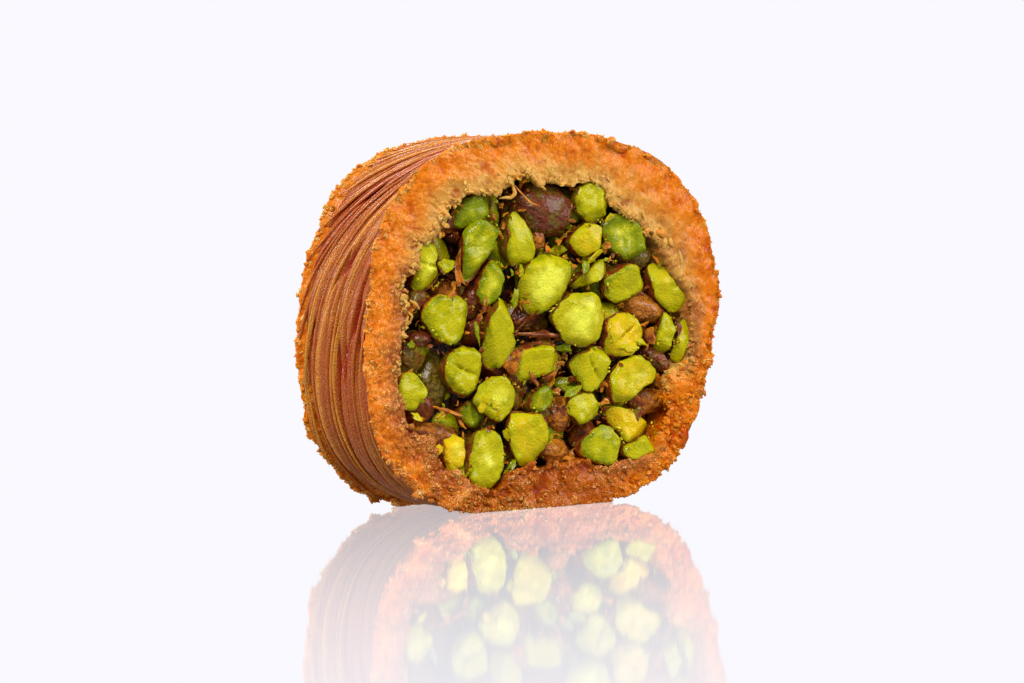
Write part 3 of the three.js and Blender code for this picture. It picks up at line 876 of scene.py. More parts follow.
def wound_lane(angle, along):
    """Where the strand through each point crosses the seam: it stays the same along the strand."""
    track = np.stack(np.broadcast_arrays(angle * ROLL_RADIUS, along, 0 * along), axis=-1)
    return along - drift(angle) + 0.6 * lumps(track * (1, 0.4, 1), 9.0, 41) + 0.12 * lumps(track, 3.0, 42)


def wound_relief(lane, angle):
    """Height of the strands that were wound on in flat bundles and pressed, and their tone, with painted
    shade in the grooves and painted light from the floor at the lower left. Bundles lean over their
    neighbours, and strands are about a third as wide."""
    run = angle * ROLL_RADIUS
    inside, side, own, lean = long_cells(lane / BUNDLE_WIDTH, run / BUNDLE_RUN, 51)
    groove = 1 - smooth_step(0.0, 0.2, inside)
    wide = 0.3 * (own - 0.6) + (lean - 0.3) * side
    ridge = smooth_step(0.1, 0.4, wide) * (1 - groove)
    lane = lane / STRAND_SPACING + 0.3 * own
    inside, side, fine_own, lean = long_cells(lane, run / STRAND_RUN, 61)
    proud = smooth_step(0.82, 0.9, fine_own)
    fine = (0.06 + 0.1 * proud) * smooth_step(0.0, 0.45, inside) + 0.1 * (lean - 0.5) * side
    # Painted shade darkens the grooves, and painted light from the floor brightens the lower left
    tone = 0.17 + 0.15 * own + 0.25 * fine_own + 0.25 * proud + 0.4 * ridge - 0.7 * groove
    return wide - 0.75 * groove + fine, tone + 0.2 * hump(angle, -138, 28)


def toast_and_underside_shade(angle):
    """0 at the top and 1 at the underside: partly the syrup it lay in, partly painted shade."""
    return np.clip(0.38 - 0.36 * np.sin(angle) + bulges(angle, POOLED_SYRUP_AND_SHADE), 0, 1.1)


def sugar_and_glint_share(angle):
    """How much dried sugar and painted glint the cuts get: least where they tore."""
    return 0.62 + bulges(angle, DRIED_SUGAR_AND_GLINTS)


def coarseness(angle):
    """Where the cut tore into coarse crumbs instead of slicing clean: the lower right."""
    return 0.15 + bulges(angle, COARSE_CUT)


@functools.cache
def wall_surface():
    """The wall as a grid of points with rows round its section, and what marks them: along the
    outside, over the back cut, through the hole and over the shown cut."""
    near_rims = (1 - np.cos(np.arange(OUTSIDE_ROWS) / OUTSIDE_ROWS * math.pi)) / 2
    over, through = np.arange(CUT_ROWS) / CUT_ROWS, np.arange(HOLE_ROWS) / HOLE_ROWS
    along = np.concatenate([near_rims - 0.5, 0 * over + 0.5, 0.5 - through, 0 * over - 0.5]) * LENGTH
    share = np.concatenate([0 * near_rims, over, 0 * through + 1, 1 - over])
    angle = circle(ROUND_STEPS)[:, None]
    back = along > 0
    from_cut = LENGTH / 2 - np.abs(along)
    sunk = WALL_SINKS * (share == 0) * (1 - fade(from_cut, burr_reach(angle, along)))
    outer = dough_radius(angle, along) - sunk
    radius = outer + (hole_radius(angle, along) - outer) * share
    points = on_roll(angle, radius, along)

    # Both rims are torn, the outer one most where the cut is coarse
    coarse = coarseness(angle)
    rim = fade(share, 0.12) * fade(from_cut, 0.6)
    inner = smooth_step(0.75, 1.0, share)
    pressed = back * hump(angle, 180, 32)
    torn_out = (0.25 + 0.15 * back - 0.25 * pressed) * lumps(points, 1.1, 21)
    torn_out = torn_out + (1 - 0.7 * pressed) * coarse * 0.7 * lumps(points, 1.8, 22)
    torn_in = rough(points, INNER_RIM_LAYERS, 23)
    points = on_roll(angle, radius + rim * torn_out + inner * torn_in, along)
    normal = unit(np.cross(*(np.roll(points, -1, way) - np.roll(points, 1, way) for way in (1, 0))))
    normal *= np.sign(normal[0, OUTSIDE_ROWS // 2, 0])

    # Both cuts are crumbly, in clumps where they are coarse and in flakes elsewhere
    big, big_tone = grains(points, CLUMP_SIZE, 31)
    small, tone = grains(points, GRAIN_SIZE, 35)
    clump = 0.45 * (big - 0.5) + 0.5 * (big_tone - 0.5)
    flake = 0.12 * (tone - 0.5) + 0.25 * (small - 0.5)
    flaky = 0.3 + 0.1 * coarse + 0.8 * inner + 0.8 * hump(angle, 190, 50)
    crumbly = (0.2 * coarse + 0.6 * coarse**2) * clump + flaky * flake + rough(points, CUT_LAYERS, 37)
    crumbly = crumbly + 0.9 * coarse**2 * lumps(points, 2.4, 45)
    depth = crumbly + 0.28 * lumps(points, 3.4, 39)
    depth = np.where((share > 0) + rim > 0.02, depth, 0)
    points = points + normal * depth[..., None]
    points[..., 2] = np.maximum(points[..., 2], 0.0)

    # The torn dough at the lower right is crust all the way in
    browned = share * (1 - 0.9 * hump(angle, -36, 12)) + 0.4 * fade(share, 0.12) * hump(angle, 130, 60)
    # Syrup and painted shade darken the shown cut below; the back one, drier, is painted lighter as if
    # backlit
    toast_and_shade = toast_and_underside_shade(angle) * np.where(back, 0.2, 1.0)
    marks = {"share": share, "browned": browned, "toast_and_shade": toast_and_shade, "tone": tone, "high": 0.5 + 0.9 * crumbly}
    marks["sugar_and_glint"] = sugar_and_glint_share(angle)
    return points, normal, {name: np.broadcast_to(value, depth.shape) for name, value in marks.items()}


class BORMA_OT_wall(bpy.types.Operator):
    """Pastry wall with its crumbly cuts, which stands for the frame's wall"""

    bl_idname = "borma.wall"
    bl_label = "Pastry wall"

    def execute(self, context):
        points, _, marks = wall_surface()
        part = wrapped_sheet(points, marks)
        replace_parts(add_piece("Kadaif_Wall", part, kadaif_crumb()), "kadaif_wall")
        return {"FINISHED"}


def bundles_part():
    """The wound bundles as one skin from cut to cut, closed out of sight under themselves."""
    angle = math.radians(SEAM) + circle(BUNDLE_STEPS)[:, None]
    over = (np.arange(BUNDLE_ROWS) / (BUNDLE_ROWS - 1) - 0.5) * (LENGTH - 0.1)
    along = np.concatenate([over, np.linspace(over[-1], over[0], UNDER_ROWS + 2)[1:-1]])
    lane = wound_lane(angle, along)
    relief, tone = wound_relief(lane, angle)
    near_cut = fade(LENGTH / 2 - np.abs(along), 0.9)
    relief = relief * (1 - 0.5 * near_cut) - 0.1 * near_cut
    relief = relief - 1.2 * fade(LENGTH / 2 - along, 0.9 * burr_reach(angle, 1.0))
    relief = np.where(np.arange(len(along)) < BUNDLE_ROWS, relief, -UNDER_DEPTH)
    points = on_roll(angle, dough_radius(angle, along) + relief, along)
    return wrapped_sheet(points, {"tone": tone, "run": angle * ROLL_RADIUS / STRAND_STREAK, "lane": lane})


def strand_part(lane, span, slope, breadth, lift, tone, seed):
    """One strand along its lane over a span in degrees, cut off where it meets a cut, or None where
    too little of it shows. The slope makes it cross its neighbours."""
    degrees = np.arange(*span, STRAND_STEP)
    angle = np.radians(degrees)
    moved = np.interp(degrees, *drift_table()) + slope * (degrees - sum(span) / 2)
    track = np.stack([angle * ROLL_RADIUS, 0 * angle + lane, 0 * angle], axis=-1)
    along = lane + moved + 0.5 * lumps(track * (1, 0.3, 1), 11.0, 41) + 0.2 * lumps(track, 5.0, seed)
    shown = np.abs(along) < LENGTH / 2 - 0.1
    if shown.sum() < STRAND_LEAST:
        return None
    angle, along, track = angle[shown], along[shown], track[shown]
    lift = lift + 0.12 * lumps(track, 7.0, seed + 1)
    path = on_roll(angle, dough_radius(angle, along) + lift, along)
    tangent = unit(np.gradient(path, axis=0))
    side = unit(np.cross(tangent, np.stack([np.cos(angle), 0 * angle, np.sin(angle)], axis=-1)))
    lean = 0.3 * lumps(track, 6.0, seed + 2)[:, None]
    side = side * np.cos(lean) + np.cross(side, tangent) * np.sin(lean)
    steps = np.arange(len(angle))
    taper = np.minimum(np.minimum(steps + 0.6, len(angle) - steps - 0.4) / STRAND_THINS, 1)
    wide = breadth / 2 * taper * (1 + 0.25 * lumps(track, 3.0, seed + 3))
    rings = tube(path, side, np.cross(side, tangent), wide, STRAND_THICK / 2 * taper, STRAND_SIDES)
    rings[..., 2] = np.maximum(rings[..., 2], 0.0)
    across = seed * 1.7 + np.cos(circle(STRAND_SIDES)) * breadth * 0.9
    run = angle[:, None] * ROLL_RADIUS / STRAND_STREAK
    return closed_rings(rings, {"tone": tone, "run": run, "lane": across})


class BORMA_OT_strands(bpy.types.Operator):
    """Flat bundles of dough wound round the outside, with single strands over them"""

    bl_idname = "borma.strands"
    bl_label = "Wound strands"

    def execute(self, context):
        sizes = context.scene.borma_sizes
        random = np.random.default_rng(3)
        add_piece("Kadaif_Bundles", bundles_part(), kadaif_strand())
        parts = []
        while len(parts) < sizes.strand_count:
            start = random.uniform(SEAM, SEAM + 300)
            span = start, min(start + random.uniform(40, 150), SEAM + 360)
            middle = np.interp(sum(span) / 2, *drift_table())
            lane = random.uniform(-LENGTH / 2, LENGTH / 2) - middle
            breadth = sizes.strand_width / MM * random.uniform(0.7, 1.5)
            slope = random.normal(0, 0.008)
            lift, tone = random.uniform(-0.15, 0.1), random.uniform(0.5, 1.1)
            part = strand_part(lane, span, slope, breadth, lift, tone, 1000 + len(parts) * 5)
            if part is not None:
                parts.append(part)
        add_piece("Kadaif_Strands", joined(parts), kadaif_strand())
        return {"FINISHED"}


# ---- Crumbs ----

# The sides of a round flake, the corners round it, and its rings as (share of breadth, height)
FLAKE = 54
FLAKE_CORNERS = 9
FLAKE_RINGS = ((0.55, 1.0), (1.0, 0.0), (0.55, -1.0))


@functools.cache
def solid_corners(sides):
    """Corners and outward faces of the regular solid with 8 or 20 sides, or of a round flake."""
    if sides == FLAKE:
        turn = circle(FLAKE_CORNERS)
        flat = np.stack([np.cos(turn), np.sin(turn)], axis=-1)
        rings = [with_third(share * flat, high) for share, high in FLAKE_RINGS]
        return closed_rings(np.array(rings), {})[:2]
    if sides == 8:
        corners = np.concatenate([np.eye(3), -np.eye(3)])
    else:
        golden = (1 + 5**0.5) / 2
        signs = [(a, b) for a in (-1, 1) for b in (-golden, golden)]
        corners = np.array([np.roll((0, a, b), k) for a, b in signs for k in range(3)], float)
    corners = unit(corners)
    gaps = np.linalg.norm(corners[:, None] - corners[None], axis=-1)
    edge = gaps[gaps > 0.1].min() * 1.1
    faces = np.array(list(itertools.combinations(range(len(corners)), 3)))
    faces = faces[(gaps[faces, np.roll(faces, 1, 1)] < edge).all(1)]
    a, b, c = (corners[faces[:, k]] for k in range(3))
    inward = np.einsum("ij,ij->i", a, np.cross(b, c)) < 0
    faces[inward] = faces[inward][:, ::-1]
    return corners, faces


def random_turns(random, count):
    """Rotation matrices that turn every way."""
    w, x, y, z = unit(random.normal(size=(count, 4))).T
    rows = [
        [1 - 2 * (y * y + z * z), 2 * (x * y - z * w), 2 * (x * z + y * w)],
        [2 * (x * y + z * w), 1 - 2 * (x * x + z * z), 2 * (y * z - x * w)],
        [2 * (x * z - y * w), 2 * (y * z + x * w), 1 - 2 * (x * x + y * y)],
    ]
    return np.moveaxis(np.array(rows), -1, 0)


def crumbs_part(random, places, half, marks, sides=20, turns=None, bend=0.0):
    """Rough little stones, one at each place, with half sizes along their own three axes. A bend
    curls them along the first axis, by that much per millimetre."""
    corners, faces = solid_corners(sides)
    count, each = len(places), len(corners)
    turns = random_turns(random, count) if turns is None else turns
    uneven = random.uniform(0.45, 1.3, (count, each, 1))
    shaped = corners[None] * uneven * half[:, None]
    shaped[..., 2] += np.broadcast_to(bend, count)[:, None] * shaped[..., 0] ** 2
    points = places[:, None] + np.einsum("nij,nkj->nki", turns, shaped)
    points[..., 2] = np.maximum(points[..., 2], 0.0)
    all_faces = (faces[None] + each * np.arange(count)[:, None, None]).reshape(-1, 3)
    named = {name: np.repeat(np.broadcast_to(value, count), each) for name, value in marks.items()}
    return points.reshape(-1, 3), all_faces, named


def loose_part(breadth, brown, path, seed):
    """A strand of dough that follows a path in front of the shown cut and thins towards its ends."""
    knots = np.arange(len(path))
    share = np.linspace(0, 1, LOOSE_RINGS * len(path))
    steps = np.stack([np.interp(share * knots[-1], knots, line) for line in zip(*path)], axis=-1)
    for _ in range(LOOSE_SMOOTHING):
        steps[1:-1] = (steps[:-2] + 2 * steps[1:-1] + steps[2:]) / 4
    middle = behind_cut(*steps.T)
    middle = middle + 0.15 * lumps(middle, 1.3, seed)[:, None]
    tangent = unit(np.gradient(middle, axis=0))
    side = unit(np.cross(tangent, (0.0, 1.0, 0.0)))
    width = breadth / 2 * (1 - 0.8 * np.abs(2 * share - 1) ** 4) * (1 + 0.4 * lumps(middle, 0.9, seed + 1))
    rings = tube(middle, side, np.cross(side, tangent), width, 0.6 * width, LOOSE_SIDES)
    marks = {"browned": 1.1 - 0.8 * brown, "toast_and_shade": 0.5 * brown - 0.2}
    return closed_rings(rings, {**marks, "tone": 0.6, "high": 0.6, "sugar_and_glint": 0.3})


class BORMA_OT_crumbs(bpy.types.Operator):
    """Crumbs that cling to the cuts and stand up as a burr round their rims"""

    bl_idname = "borma.crumbs"
    bl_label = "Crumbs"

    def execute(self, context):
        sizes = context.scene.borma_sizes
        random = np.random.default_rng(7)
        points, normal, marks = wall_surface()
        angle = np.broadcast_to(circle(ROUND_STEPS)[:, None], points.shape[:2]).ravel()
        points, normal = points.reshape(-1, 3), normal.reshape(-1, 3)
        flat = {name: values.ravel() for name, values in marks.items()}
        share, browned, toast_and_shade, high = (flat[name] for name in ("share", "browned", "toast_and_shade", "high"))
        back = points[:, 1] > 0
        near_cut = fade(LENGTH / 2 - np.abs(points[:, 1]), burr_reach(angle, points[:, 1]))
        spread = near_cut * np.hypot(points[:, 0], points[:, 2] - HEIGHT / 2)

        coarse = coarseness(angle)
        edges = 0.1 + coarse + back * bulges(angle, BACK_CHUNKS)
        flaking = 1e-4 + fade(1 - share, 0.12) * bulges(angle, DRY_FLAKES)
        rims = fade(share, 0.08) + 0.7 * fade(1 - share, 0.07)
        rims = rims * np.where(back, 1 - 0.75 * hump(angle, 180, 30), 1)
        parts = []
        # How many, how broad, their sides, where they are likely, how proud they stand, and how pale
        for count, size, sides, likely, proud, pale in (
            (sizes.crumb_count, sizes.crumb_size, 8, 0.04 * coarse**2 + 0.6 * rims, 0.1, 0.0),
            (sizes.chunk_count, sizes.chunk_size, 20, 0.3 * rims * edges + 0.6 * coarse**4, -0.12, 0.0),
            (sizes.flake_count, sizes.flake_size, FLAKE, flaking, 0.2, 0.6),
        ):
            weight = likely * spread
            chosen = random.choice(len(points), count, p=weight / weight.sum())
            breadth = size / MM * random.lognormal(0, 0.35, count)[:, None]
            half = breadth / 2 * random.uniform(0.6, 1.2, (count, 3))
            out = half.mean(1) * random.uniform(proud - 0.5, proud + 0.4, count)
            places = points[chosen] + normal[chosen] * out[:, None] + random.normal(0, 0.06, (count, 3))
            named = {
                "browned": browned[chosen] + random.normal(0.1, 0.22, count) + 0.3 * pale,
                "toast_and_shade": toast_and_shade[chosen]
                + random.normal(0, 0.08, count)
                - pale * random.uniform(0.3, 1, count),
                "tone": random.uniform(0, 1, count),
                "high": high[chosen] + 0.35,
                "sugar_and_glint": sugar_and_glint_share(angle[chosen]),
            }
            half[:, 2] *= 1 - 0.7 * (sides == FLAKE)
            parts.append(crumbs_part(random, places, half, named, sides))
        parts += [loose_part(*strand, seed) for seed, strand in enumerate(LOOSE_DOUGH, 300)]
        add_piece("Kadaif_Crumbs", joined(parts), kadaif_crumb(), smooth=False)
        return {"FINISHED"}


# ---- Filling ----

# Points round a cut kernel, the rings of its face as shares of its outline, and the rings of its skin
# as (how far they lie behind the face, share of the outline)
KERNEL_ROUND = 72
FACE_SHARES = np.array([0.1, 0.22, 0.34, 0.46, 0.58, 0.69, 0.79, 0.87, 0.93, 0.97, 1.0])
SKIN_RINGS = ((0.15, 1.0), (0.4, 1.0), (0.9, 0.97), (1.6, 0.9), (2.5, 0.78), (3.4, 0.55), (4.2, 0.15))
# Points round the syrup, and the rings of its two faces as shares of the hole
SYRUP_ROUND = 120
SYRUP_SHARES = (0.05, 0.2, 0.35, 0.5, 0.65, 0.8, 0.92, 1.0)


def even_outline(corners):
    """The middle of a closed outline and its radius at even angles, with the corners softened."""
    corners = np.array(corners, float)
    middle = corners.mean(0)
    closed = np.concatenate([corners, corners[:1]]) - middle
    steps = np.linspace(0, len(corners), 30 * len(corners), endpoint=False)
    edge = np.stack([np.interp(steps, np.arange(len(closed)), closed[:, k]) for k in range(2)], axis=-1)
    turned = np.arctan2(edge[:, 1], edge[:, 0]) % TURN
    order = np.argsort(turned)
    radius = np.interp(circle(KERNEL_ROUND), turned[order], np.hypot(*edge[order].T), period=TURN)
    waves = np.fft.rfft(radius) * fade(np.arange(KERNEL_ROUND // 2 + 1), 11.0)
    return middle, np.fft.irfft(waves, KERNEL_ROUND) * 1.02


def chopped_face(random, flat, spot, size, seed):
    """Height of a cut kernel's face at points of the plane of the cut, for a kernel of that size."""
    # One cut runs over most of the face, and the knife took chips off its edge
    bearing = random.uniform(0, TURN) + np.arange(4) * 2.1 + random.normal(0, 0.4, 4)
    steep = np.append(random.uniform(0.0, 0.22), random.uniform(0.3, 1.1, 3))
    start = np.append(0.0, random.uniform(0.45, 0.8, 3))
    facets = start * size * steep - flat @ (np.stack([np.cos(bearing), np.sin(bearing)]) * steep)
    out = -np.log(np.exp(-20 * facets).sum(-1)) / 20 + 0.2 + rough(spot, KERNEL_FACE_LAYERS, seed + 2)
    # Some have a hollow, and a few a cleft between their two halves
    dent = random.uniform(-0.4, 0.4, 2) * size
    out = out - random.choice((0.0, 0.25)) * fade(np.linalg.norm(flat - dent, axis=-1), 0.55 * size)
    along, across = along_and_across(flat, random.uniform(0, TURN))
    out = out - 0.5 * (random.uniform() < 0.2) * fade(across, 0.2) * fade(along, 0.6 * size)
    return out - smooth_step(0.9, 1.0, FACE_SHARES)[:, None] * (0.16 + 0.16 * lumps(spot, 0.5, seed + 4))


def kernel_part(side, seed, middle, radius, depth, swell, ripe, pale):
    """A kernel cut through: chopped facets, a torn rim and the skin behind it. Side is -1 on the
    shown cut and 1 on the far one."""
    random = np.random.default_rng(seed)
    turn = circle(KERNEL_ROUND)
    direction = np.stack([np.cos(turn), np.sin(turn)], axis=-1)
    # Each kernel has its own part of the unevenness
    spot = with_third(direction * radius[:, None] + middle, seed * 3.7)
    edge = direction * (radius + rough(spot, KERNEL_EDGE_LAYERS, seed))[:, None]
    flat = FACE_SHARES[:, None, None] * edge
    spot = with_third(flat + middle, seed * 3.7)
    face = with_third(flat, chopped_face(random, flat, spot, radius.mean(), seed)[..., None])

    back, grown = np.array(SKIN_RINGS).T[..., None]
    grown = grown * (1 + (swell - 1) * np.clip(1.2 * back, 0, 1))
    lean = random.uniform(-0.22, 0.22, 2)
    wide = edge * grown[..., None] + lean * back[..., None]
    spot = with_third(wide + middle, back[..., None] + seed)
    wide = wide * (1 + rough(spot, KERNEL_SKIN_LAYERS, seed + 5))[..., None]
    behind = face[-1, :, 2] * np.clip(1 - back, 0, 1) - back
    rings = np.concatenate([face, with_third(wide, behind[..., None])])

    placed = behind_cut(middle[0] + rings[..., 0], middle[1] + rings[..., 1], depth, side)
    placed[..., 1] += side * rings[..., 2]
    placed[..., 2] = np.maximum(placed[..., 2], LOWEST_KERNEL)
    level = np.concatenate([FACE_SHARES, np.ones(len(SKIN_RINGS))])[:, None]
    from_rim = np.concatenate([(1 - FACE_SHARES[:, None]) / 0.1, back / 0.3])
    torn_skin = 0.4 * smooth_step(0.93, 1.0, FACE_SHARES)[:, None]
    along_grain, across_grain = along_and_across(rings, random.uniform(0, math.pi))
    marks = {
        "skin": np.concatenate([torn_skin, np.clip(0.3 + back, 0, 1)]),
        "ripe": ripe + 0.06 - 0.24 * smooth_step(0.65, 1.0, level),
        "pale": pale * 0.9 * (1 - level**2) + 0.25 * (1 - level),
        "tone": random.uniform(0.1, 0.75) + 0.5 * fade(from_rim, 1),
        "across": seed * 5 + along_grain,
        "down": across_grain / KERNEL_STREAK,
    }
    return closed_rings(placed, marks)


def whole_part(middle, along, half, turn, marks, seed, steps=28):
    """A whole kernel in its wrinkled skin, lying across the line of the roll."""
    tip = np.linspace(0, math.pi, steps + 2)[1:-1, None]
    around = circle(steps + 12)
    girth = np.sin(tip) ** 0.8 * half[1]
    sides = np.broadcast_arrays(np.cos(tip) * half[0], np.cos(around) * girth, np.sin(around) * girth)
    local = np.stack(sides, axis=-1)
    wrinkle = 0.35 * np.abs(lumps(local * (0.5, 1, 1) + seed, 0.9, seed))
    wrinkle = wrinkle + 0.25 * lumps(local + seed, 1.7, seed + 1)
    local = local * (1 + wrinkle / half[1])[..., None]
    tilt = (chance(np.array([seed, 0, 9]), 81) - 0.5) * 0.6
    spin = Matrix.Rotation(-turn, 3, "Y") @ Matrix.Rotation(tilt, 3, "Z")
    placed = local @ np.array(spin).T + np.array([axis_across() + middle[0], along, middle[1]])
    streaks = {"across": local[..., 2] + seed * 5, "down": local[..., 0] / KERNEL_STREAK}
    return closed_rings(placed, {**marks, **streaks})


@functools.cache
def packed_middles(count, room, seed):
    """Places spread evenly over the hole: each moves to the middle of the dots nearest to it."""
    random = np.random.default_rng(seed)
    angle = random.uniform(0, TURN, PACKING_DOTS)
    reach = np.sqrt(random.uniform(0, 1, PACKING_DOTS)) * (hole_radius(angle) - room)
    dots = np.stack([reach * np.cos(angle), reach * np.sin(angle)], axis=-1)
    middles = dots[:count] * 1.0
    for _ in range(PACKING_MOVES):
        nearest = np.argmin(np.linalg.norm(dots[:, None] - middles[None], axis=-1), axis=1)
        middles = np.array([dots[nearest == k].mean(0) for k in range(count)])
    return middles + random.normal(0, 0.4, middles.shape)


def packed_outline(middles, index, gap, random):
    """Radius round a kernel that fills its own share of the hole, less the gap to its neighbours."""
    here = middles[index]
    away = np.delete(middles, index, 0) - here
    half = np.linalg.norm(away, axis=1) / 2 - gap / 2
    near = half < PACKING_REACH
    facing = np.arctan2(away[near, 1], away[near, 0])
    angle = np.arctan2(here[1], here[0])
    wall = max(hole_radius(np.array([angle]))[0] - np.hypot(*here) - 0.2, PACKED_LEAST)
    facing, half = np.append(facing, angle), np.append(half[near], wall)
    pull = np.maximum(np.cos(circle(KERNEL_ROUND)[:, None] - facing), 0) / half
    radius = np.sum(pull**PACKED_SQUARENESS, axis=1) ** (-1 / PACKED_SQUARENESS)
    return np.clip(radius, PACKED_LEAST, PACKED_MOST) * random.uniform(0.8, 1.0)


@functools.cache
def kernel_outlines(side):
    """Middle, radius, depth, swell, ripeness and paleness of every cut kernel on one side."""
    if side < 0:
        return [
            (*even_outline(corners), depth, swell, ripe, pale)
            for depth, ripe, pale, swell, corners in KERNELS
        ]
    random = np.random.default_rng(23)
    gap = bpy.context.scene.borma_sizes.kernel_gap / MM
    middles = packed_middles(FAR_KERNELS, 1.6, 5)
    found = []
    for index, spot in enumerate(middles):
        radius = packed_outline(middles, index, gap, random)
        ripe = np.clip(random.normal(0.5, 0.22), 0, 1)
        numbers = random.uniform(-0.2, 1.1), random.uniform(1.0, 1.1), ripe, random.uniform(0, 0.7)
        found.append((spot + (0, AXIS_UP), radius, *numbers))
    return found


class BORMA_OT_kernels(bpy.types.Operator):
    """Cut kernels at both cuts, which stand for the frame's filling"""

    bl_idname = "borma.kernels"
    bl_label = "Cut kernels"

    def execute(self, context):
        for side, name in ((-1, "Pistachio_Kernels_Shown"), (1, "Pistachio_Kernels_Far")):
            outlines = enumerate(kernel_outlines(side), 101 + 100 * side)
            parts = [kernel_part(side, seed, *outline) for seed, outline in outlines]
            piece = add_piece(name, joined(parts), pistachio_kernel())
            if side < 0:
                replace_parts(piece, "pistachio_filling")
        return {"FINISHED"}


class BORMA_OT_whole_kernels(bpy.types.Operator):
    """Uncut kernels in their skins, behind and between the cut ones"""

    bl_idname = "borma.whole_kernels"
    bl_label = "Whole kernels"

    def execute(self, context):
        random = np.random.default_rng(31)
        parts = []
        for seed, (across, up, long, broad, turn, depth, tone) in enumerate(WHOLE_KERNELS, 1):
            middle = (across + SIGHT * (depth + broad * 0.5), up)
            along = depth + broad - LENGTH / 2
            parts.append(whole_part(middle, along, (long, broad), math.radians(turn), {"tone": tone}, seed))
        add_piece("Pistachio_Kernels_Whole", joined(parts), pistachio_skin())
        parts = []
        for side in (-1, 1):
            for across, up in packed_middles(DEEP_KERNELS, 1.7, 40 + side):
                along = side * (LENGTH / 2 - random.uniform(*DEEP_DEPTH))
                half = random.uniform(*DEEP_LONG), random.uniform(*DEEP_BROAD)
                marks = {
                    "tone": random.uniform(0, 0.9),
                    "skin": random.choice((0.3, 0.55, 1.0)),
                    "ripe": random.uniform(0, 0.5),
                    "pale": 0.0,
                }
                middle, turn = (across, up + AXIS_UP), random.uniform(0, math.pi)
                parts.append(whole_part(middle, along, half, turn, marks, len(parts) + 50, 14))
        add_piece("Pistachio_Kernels_Deep", joined(parts), pistachio_kernel())
        return {"FINISHED"}


def gap_places(random, side, count):
    """Points (across, up) of the filling's cut that lie between its kernels."""
    angle = random.uniform(0, TURN, count * GAP_TRIES)
    reach = np.sqrt(random.uniform(0, 1, count * GAP_TRIES)) * (hole_radius(angle, side * LENGTH / 2) - 0.4)
    spots = np.stack([reach * np.cos(angle), reach * np.sin(angle) + AXIS_UP], axis=-1)
    free = np.ones(len(spots), bool)
    for middle, radius, *_ in kernel_outlines(side):
        away = spots - middle
        turned = np.arctan2(away[:, 1], away[:, 0]) % TURN
        free &= np.hypot(*away.T) > np.interp(turned, circle(KERNEL_ROUND), radius, period=TURN) - 0.15
    for across, up, long, broad, *_ in WHOLE_KERNELS if side < 0 else ():
        free &= np.hypot(*(spots - (across, up)).T) > min(long, broad)
    return spots[free][:count]


def slivers_part(random):
    """The listed torn bits, each turned its own way and stood up on its edge."""
    across, up, long, broad, turn, depth, skin, ripe, tone = np.array(SLIVERS).T
    half = np.stack([long, broad * 1.1, 0 * long + 0.12], axis=-1)
    lean = math.pi / 2 + random.normal(0, 0.5, len(turn))
    turns = [
        Matrix.Rotation(-math.radians(degrees), 3, "Y") @ Matrix.Rotation(over, 3, "X")
        for degrees, over in zip(turn, lean)
    ]
    marks = {"skin": skin, "ripe": ripe, "pale": 0.2, "tone": tone, "across": across, "down": up}
    bend = random.normal(0, 0.12, len(turn))
    return crumbs_part(random, behind_cut(across, up, depth), half, marks, FLAKE, np.array(turns), bend)


def torn_marks(random, count, skinned, ripe, ripe_spread, palest, tones):
    """Marks of torn bits, of which a share is skin."""
    return {
        "skin": (random.uniform(0, 1, count) < skinned) * 1.0,
        "ripe": ripe + random.normal(0, ripe_spread, count),
        "pale": random.uniform(0, palest, count),
        "tone": random.uniform(*tones, count),
        "across": random.uniform(0, 90, count),
        "down": 0.0,
    }


def flakes_part(random, side):
    """Flakes of skin and kernel in the gaps of one cut."""
    spots = gap_places(random, side, GAP_FLAKES)
    count = len(spots)
    depth = random.uniform(0.3, 3.4, count)
    long = random.lognormal(-0.75, 0.45, count)
    broad, thick = random.uniform(0.4, 0.8, count), random.uniform(0.08, 0.2, count)
    half = np.stack([long, long * broad, long * thick], axis=-1)
    marks = torn_marks(random, count, skinned=0.85, ripe=0.3, ripe_spread=0.3, palest=0.3, tones=(0.2, 1.6))
    bend = random.normal(0, 0.4, count) / long
    return crumbs_part(random, behind_cut(*spots.T, depth, side), half, marks, FLAKE, None, bend)


def chips_part(random, side):
    """Chips along the torn stretches of the kernels' rims on one cut."""
    outlines = kernel_outlines(side)
    index, turn = random.integers(0, len(outlines), RIM_CHIPS), random.uniform(0, TURN, RIM_CHIPS)
    torn = lumps(np.stack([index * 7.0, turn * 1.6, 0 * turn], axis=-1), 1.0, 77) > 0.25
    index, turn = index[torn], turn[torn]
    count = len(index)
    middle, radius, depth, _, ripe, _ = (np.array(column)[index] for column in zip(*outlines))
    step = (turn / TURN * KERNEL_ROUND).astype(int)
    reach = radius[np.arange(count), step] + random.normal(0.0, 0.07, count)
    spots = middle + reach[:, None] * np.stack([np.cos(turn), np.sin(turn)], axis=-1)
    places = behind_cut(*spots.T, depth, side)
    places[:, 1] -= side * random.normal(-0.22, 0.1, count)
    half = random.lognormal(-2.25, 0.4, count)[:, None] * random.uniform(0.5, 1.7, (count, 3))
    ripe = ripe + 0.1
    marks = torn_marks(random, count, skinned=0.4, ripe=ripe, ripe_spread=0.2, palest=0.8, tones=(0.4, 1.4))
    return crumbs_part(random, places, half, marks, 8)


class BORMA_OT_fragments(bpy.types.Operator):
    """Slivers, flakes of skin and green crumbs between the kernels"""

    bl_idname = "borma.fragments"
    bl_label = "Fragments"

    def execute(self, context):
        random = np.random.default_rng(41)
        parts = [slivers_part(random)]
        for side in (-1, 1):
            parts += [flakes_part(random, side), chips_part(random, side)]
        add_piece("Pistachio_Fragments", joined(parts), pistachio_kernel(), smooth=False)
        return {"FINISHED"}


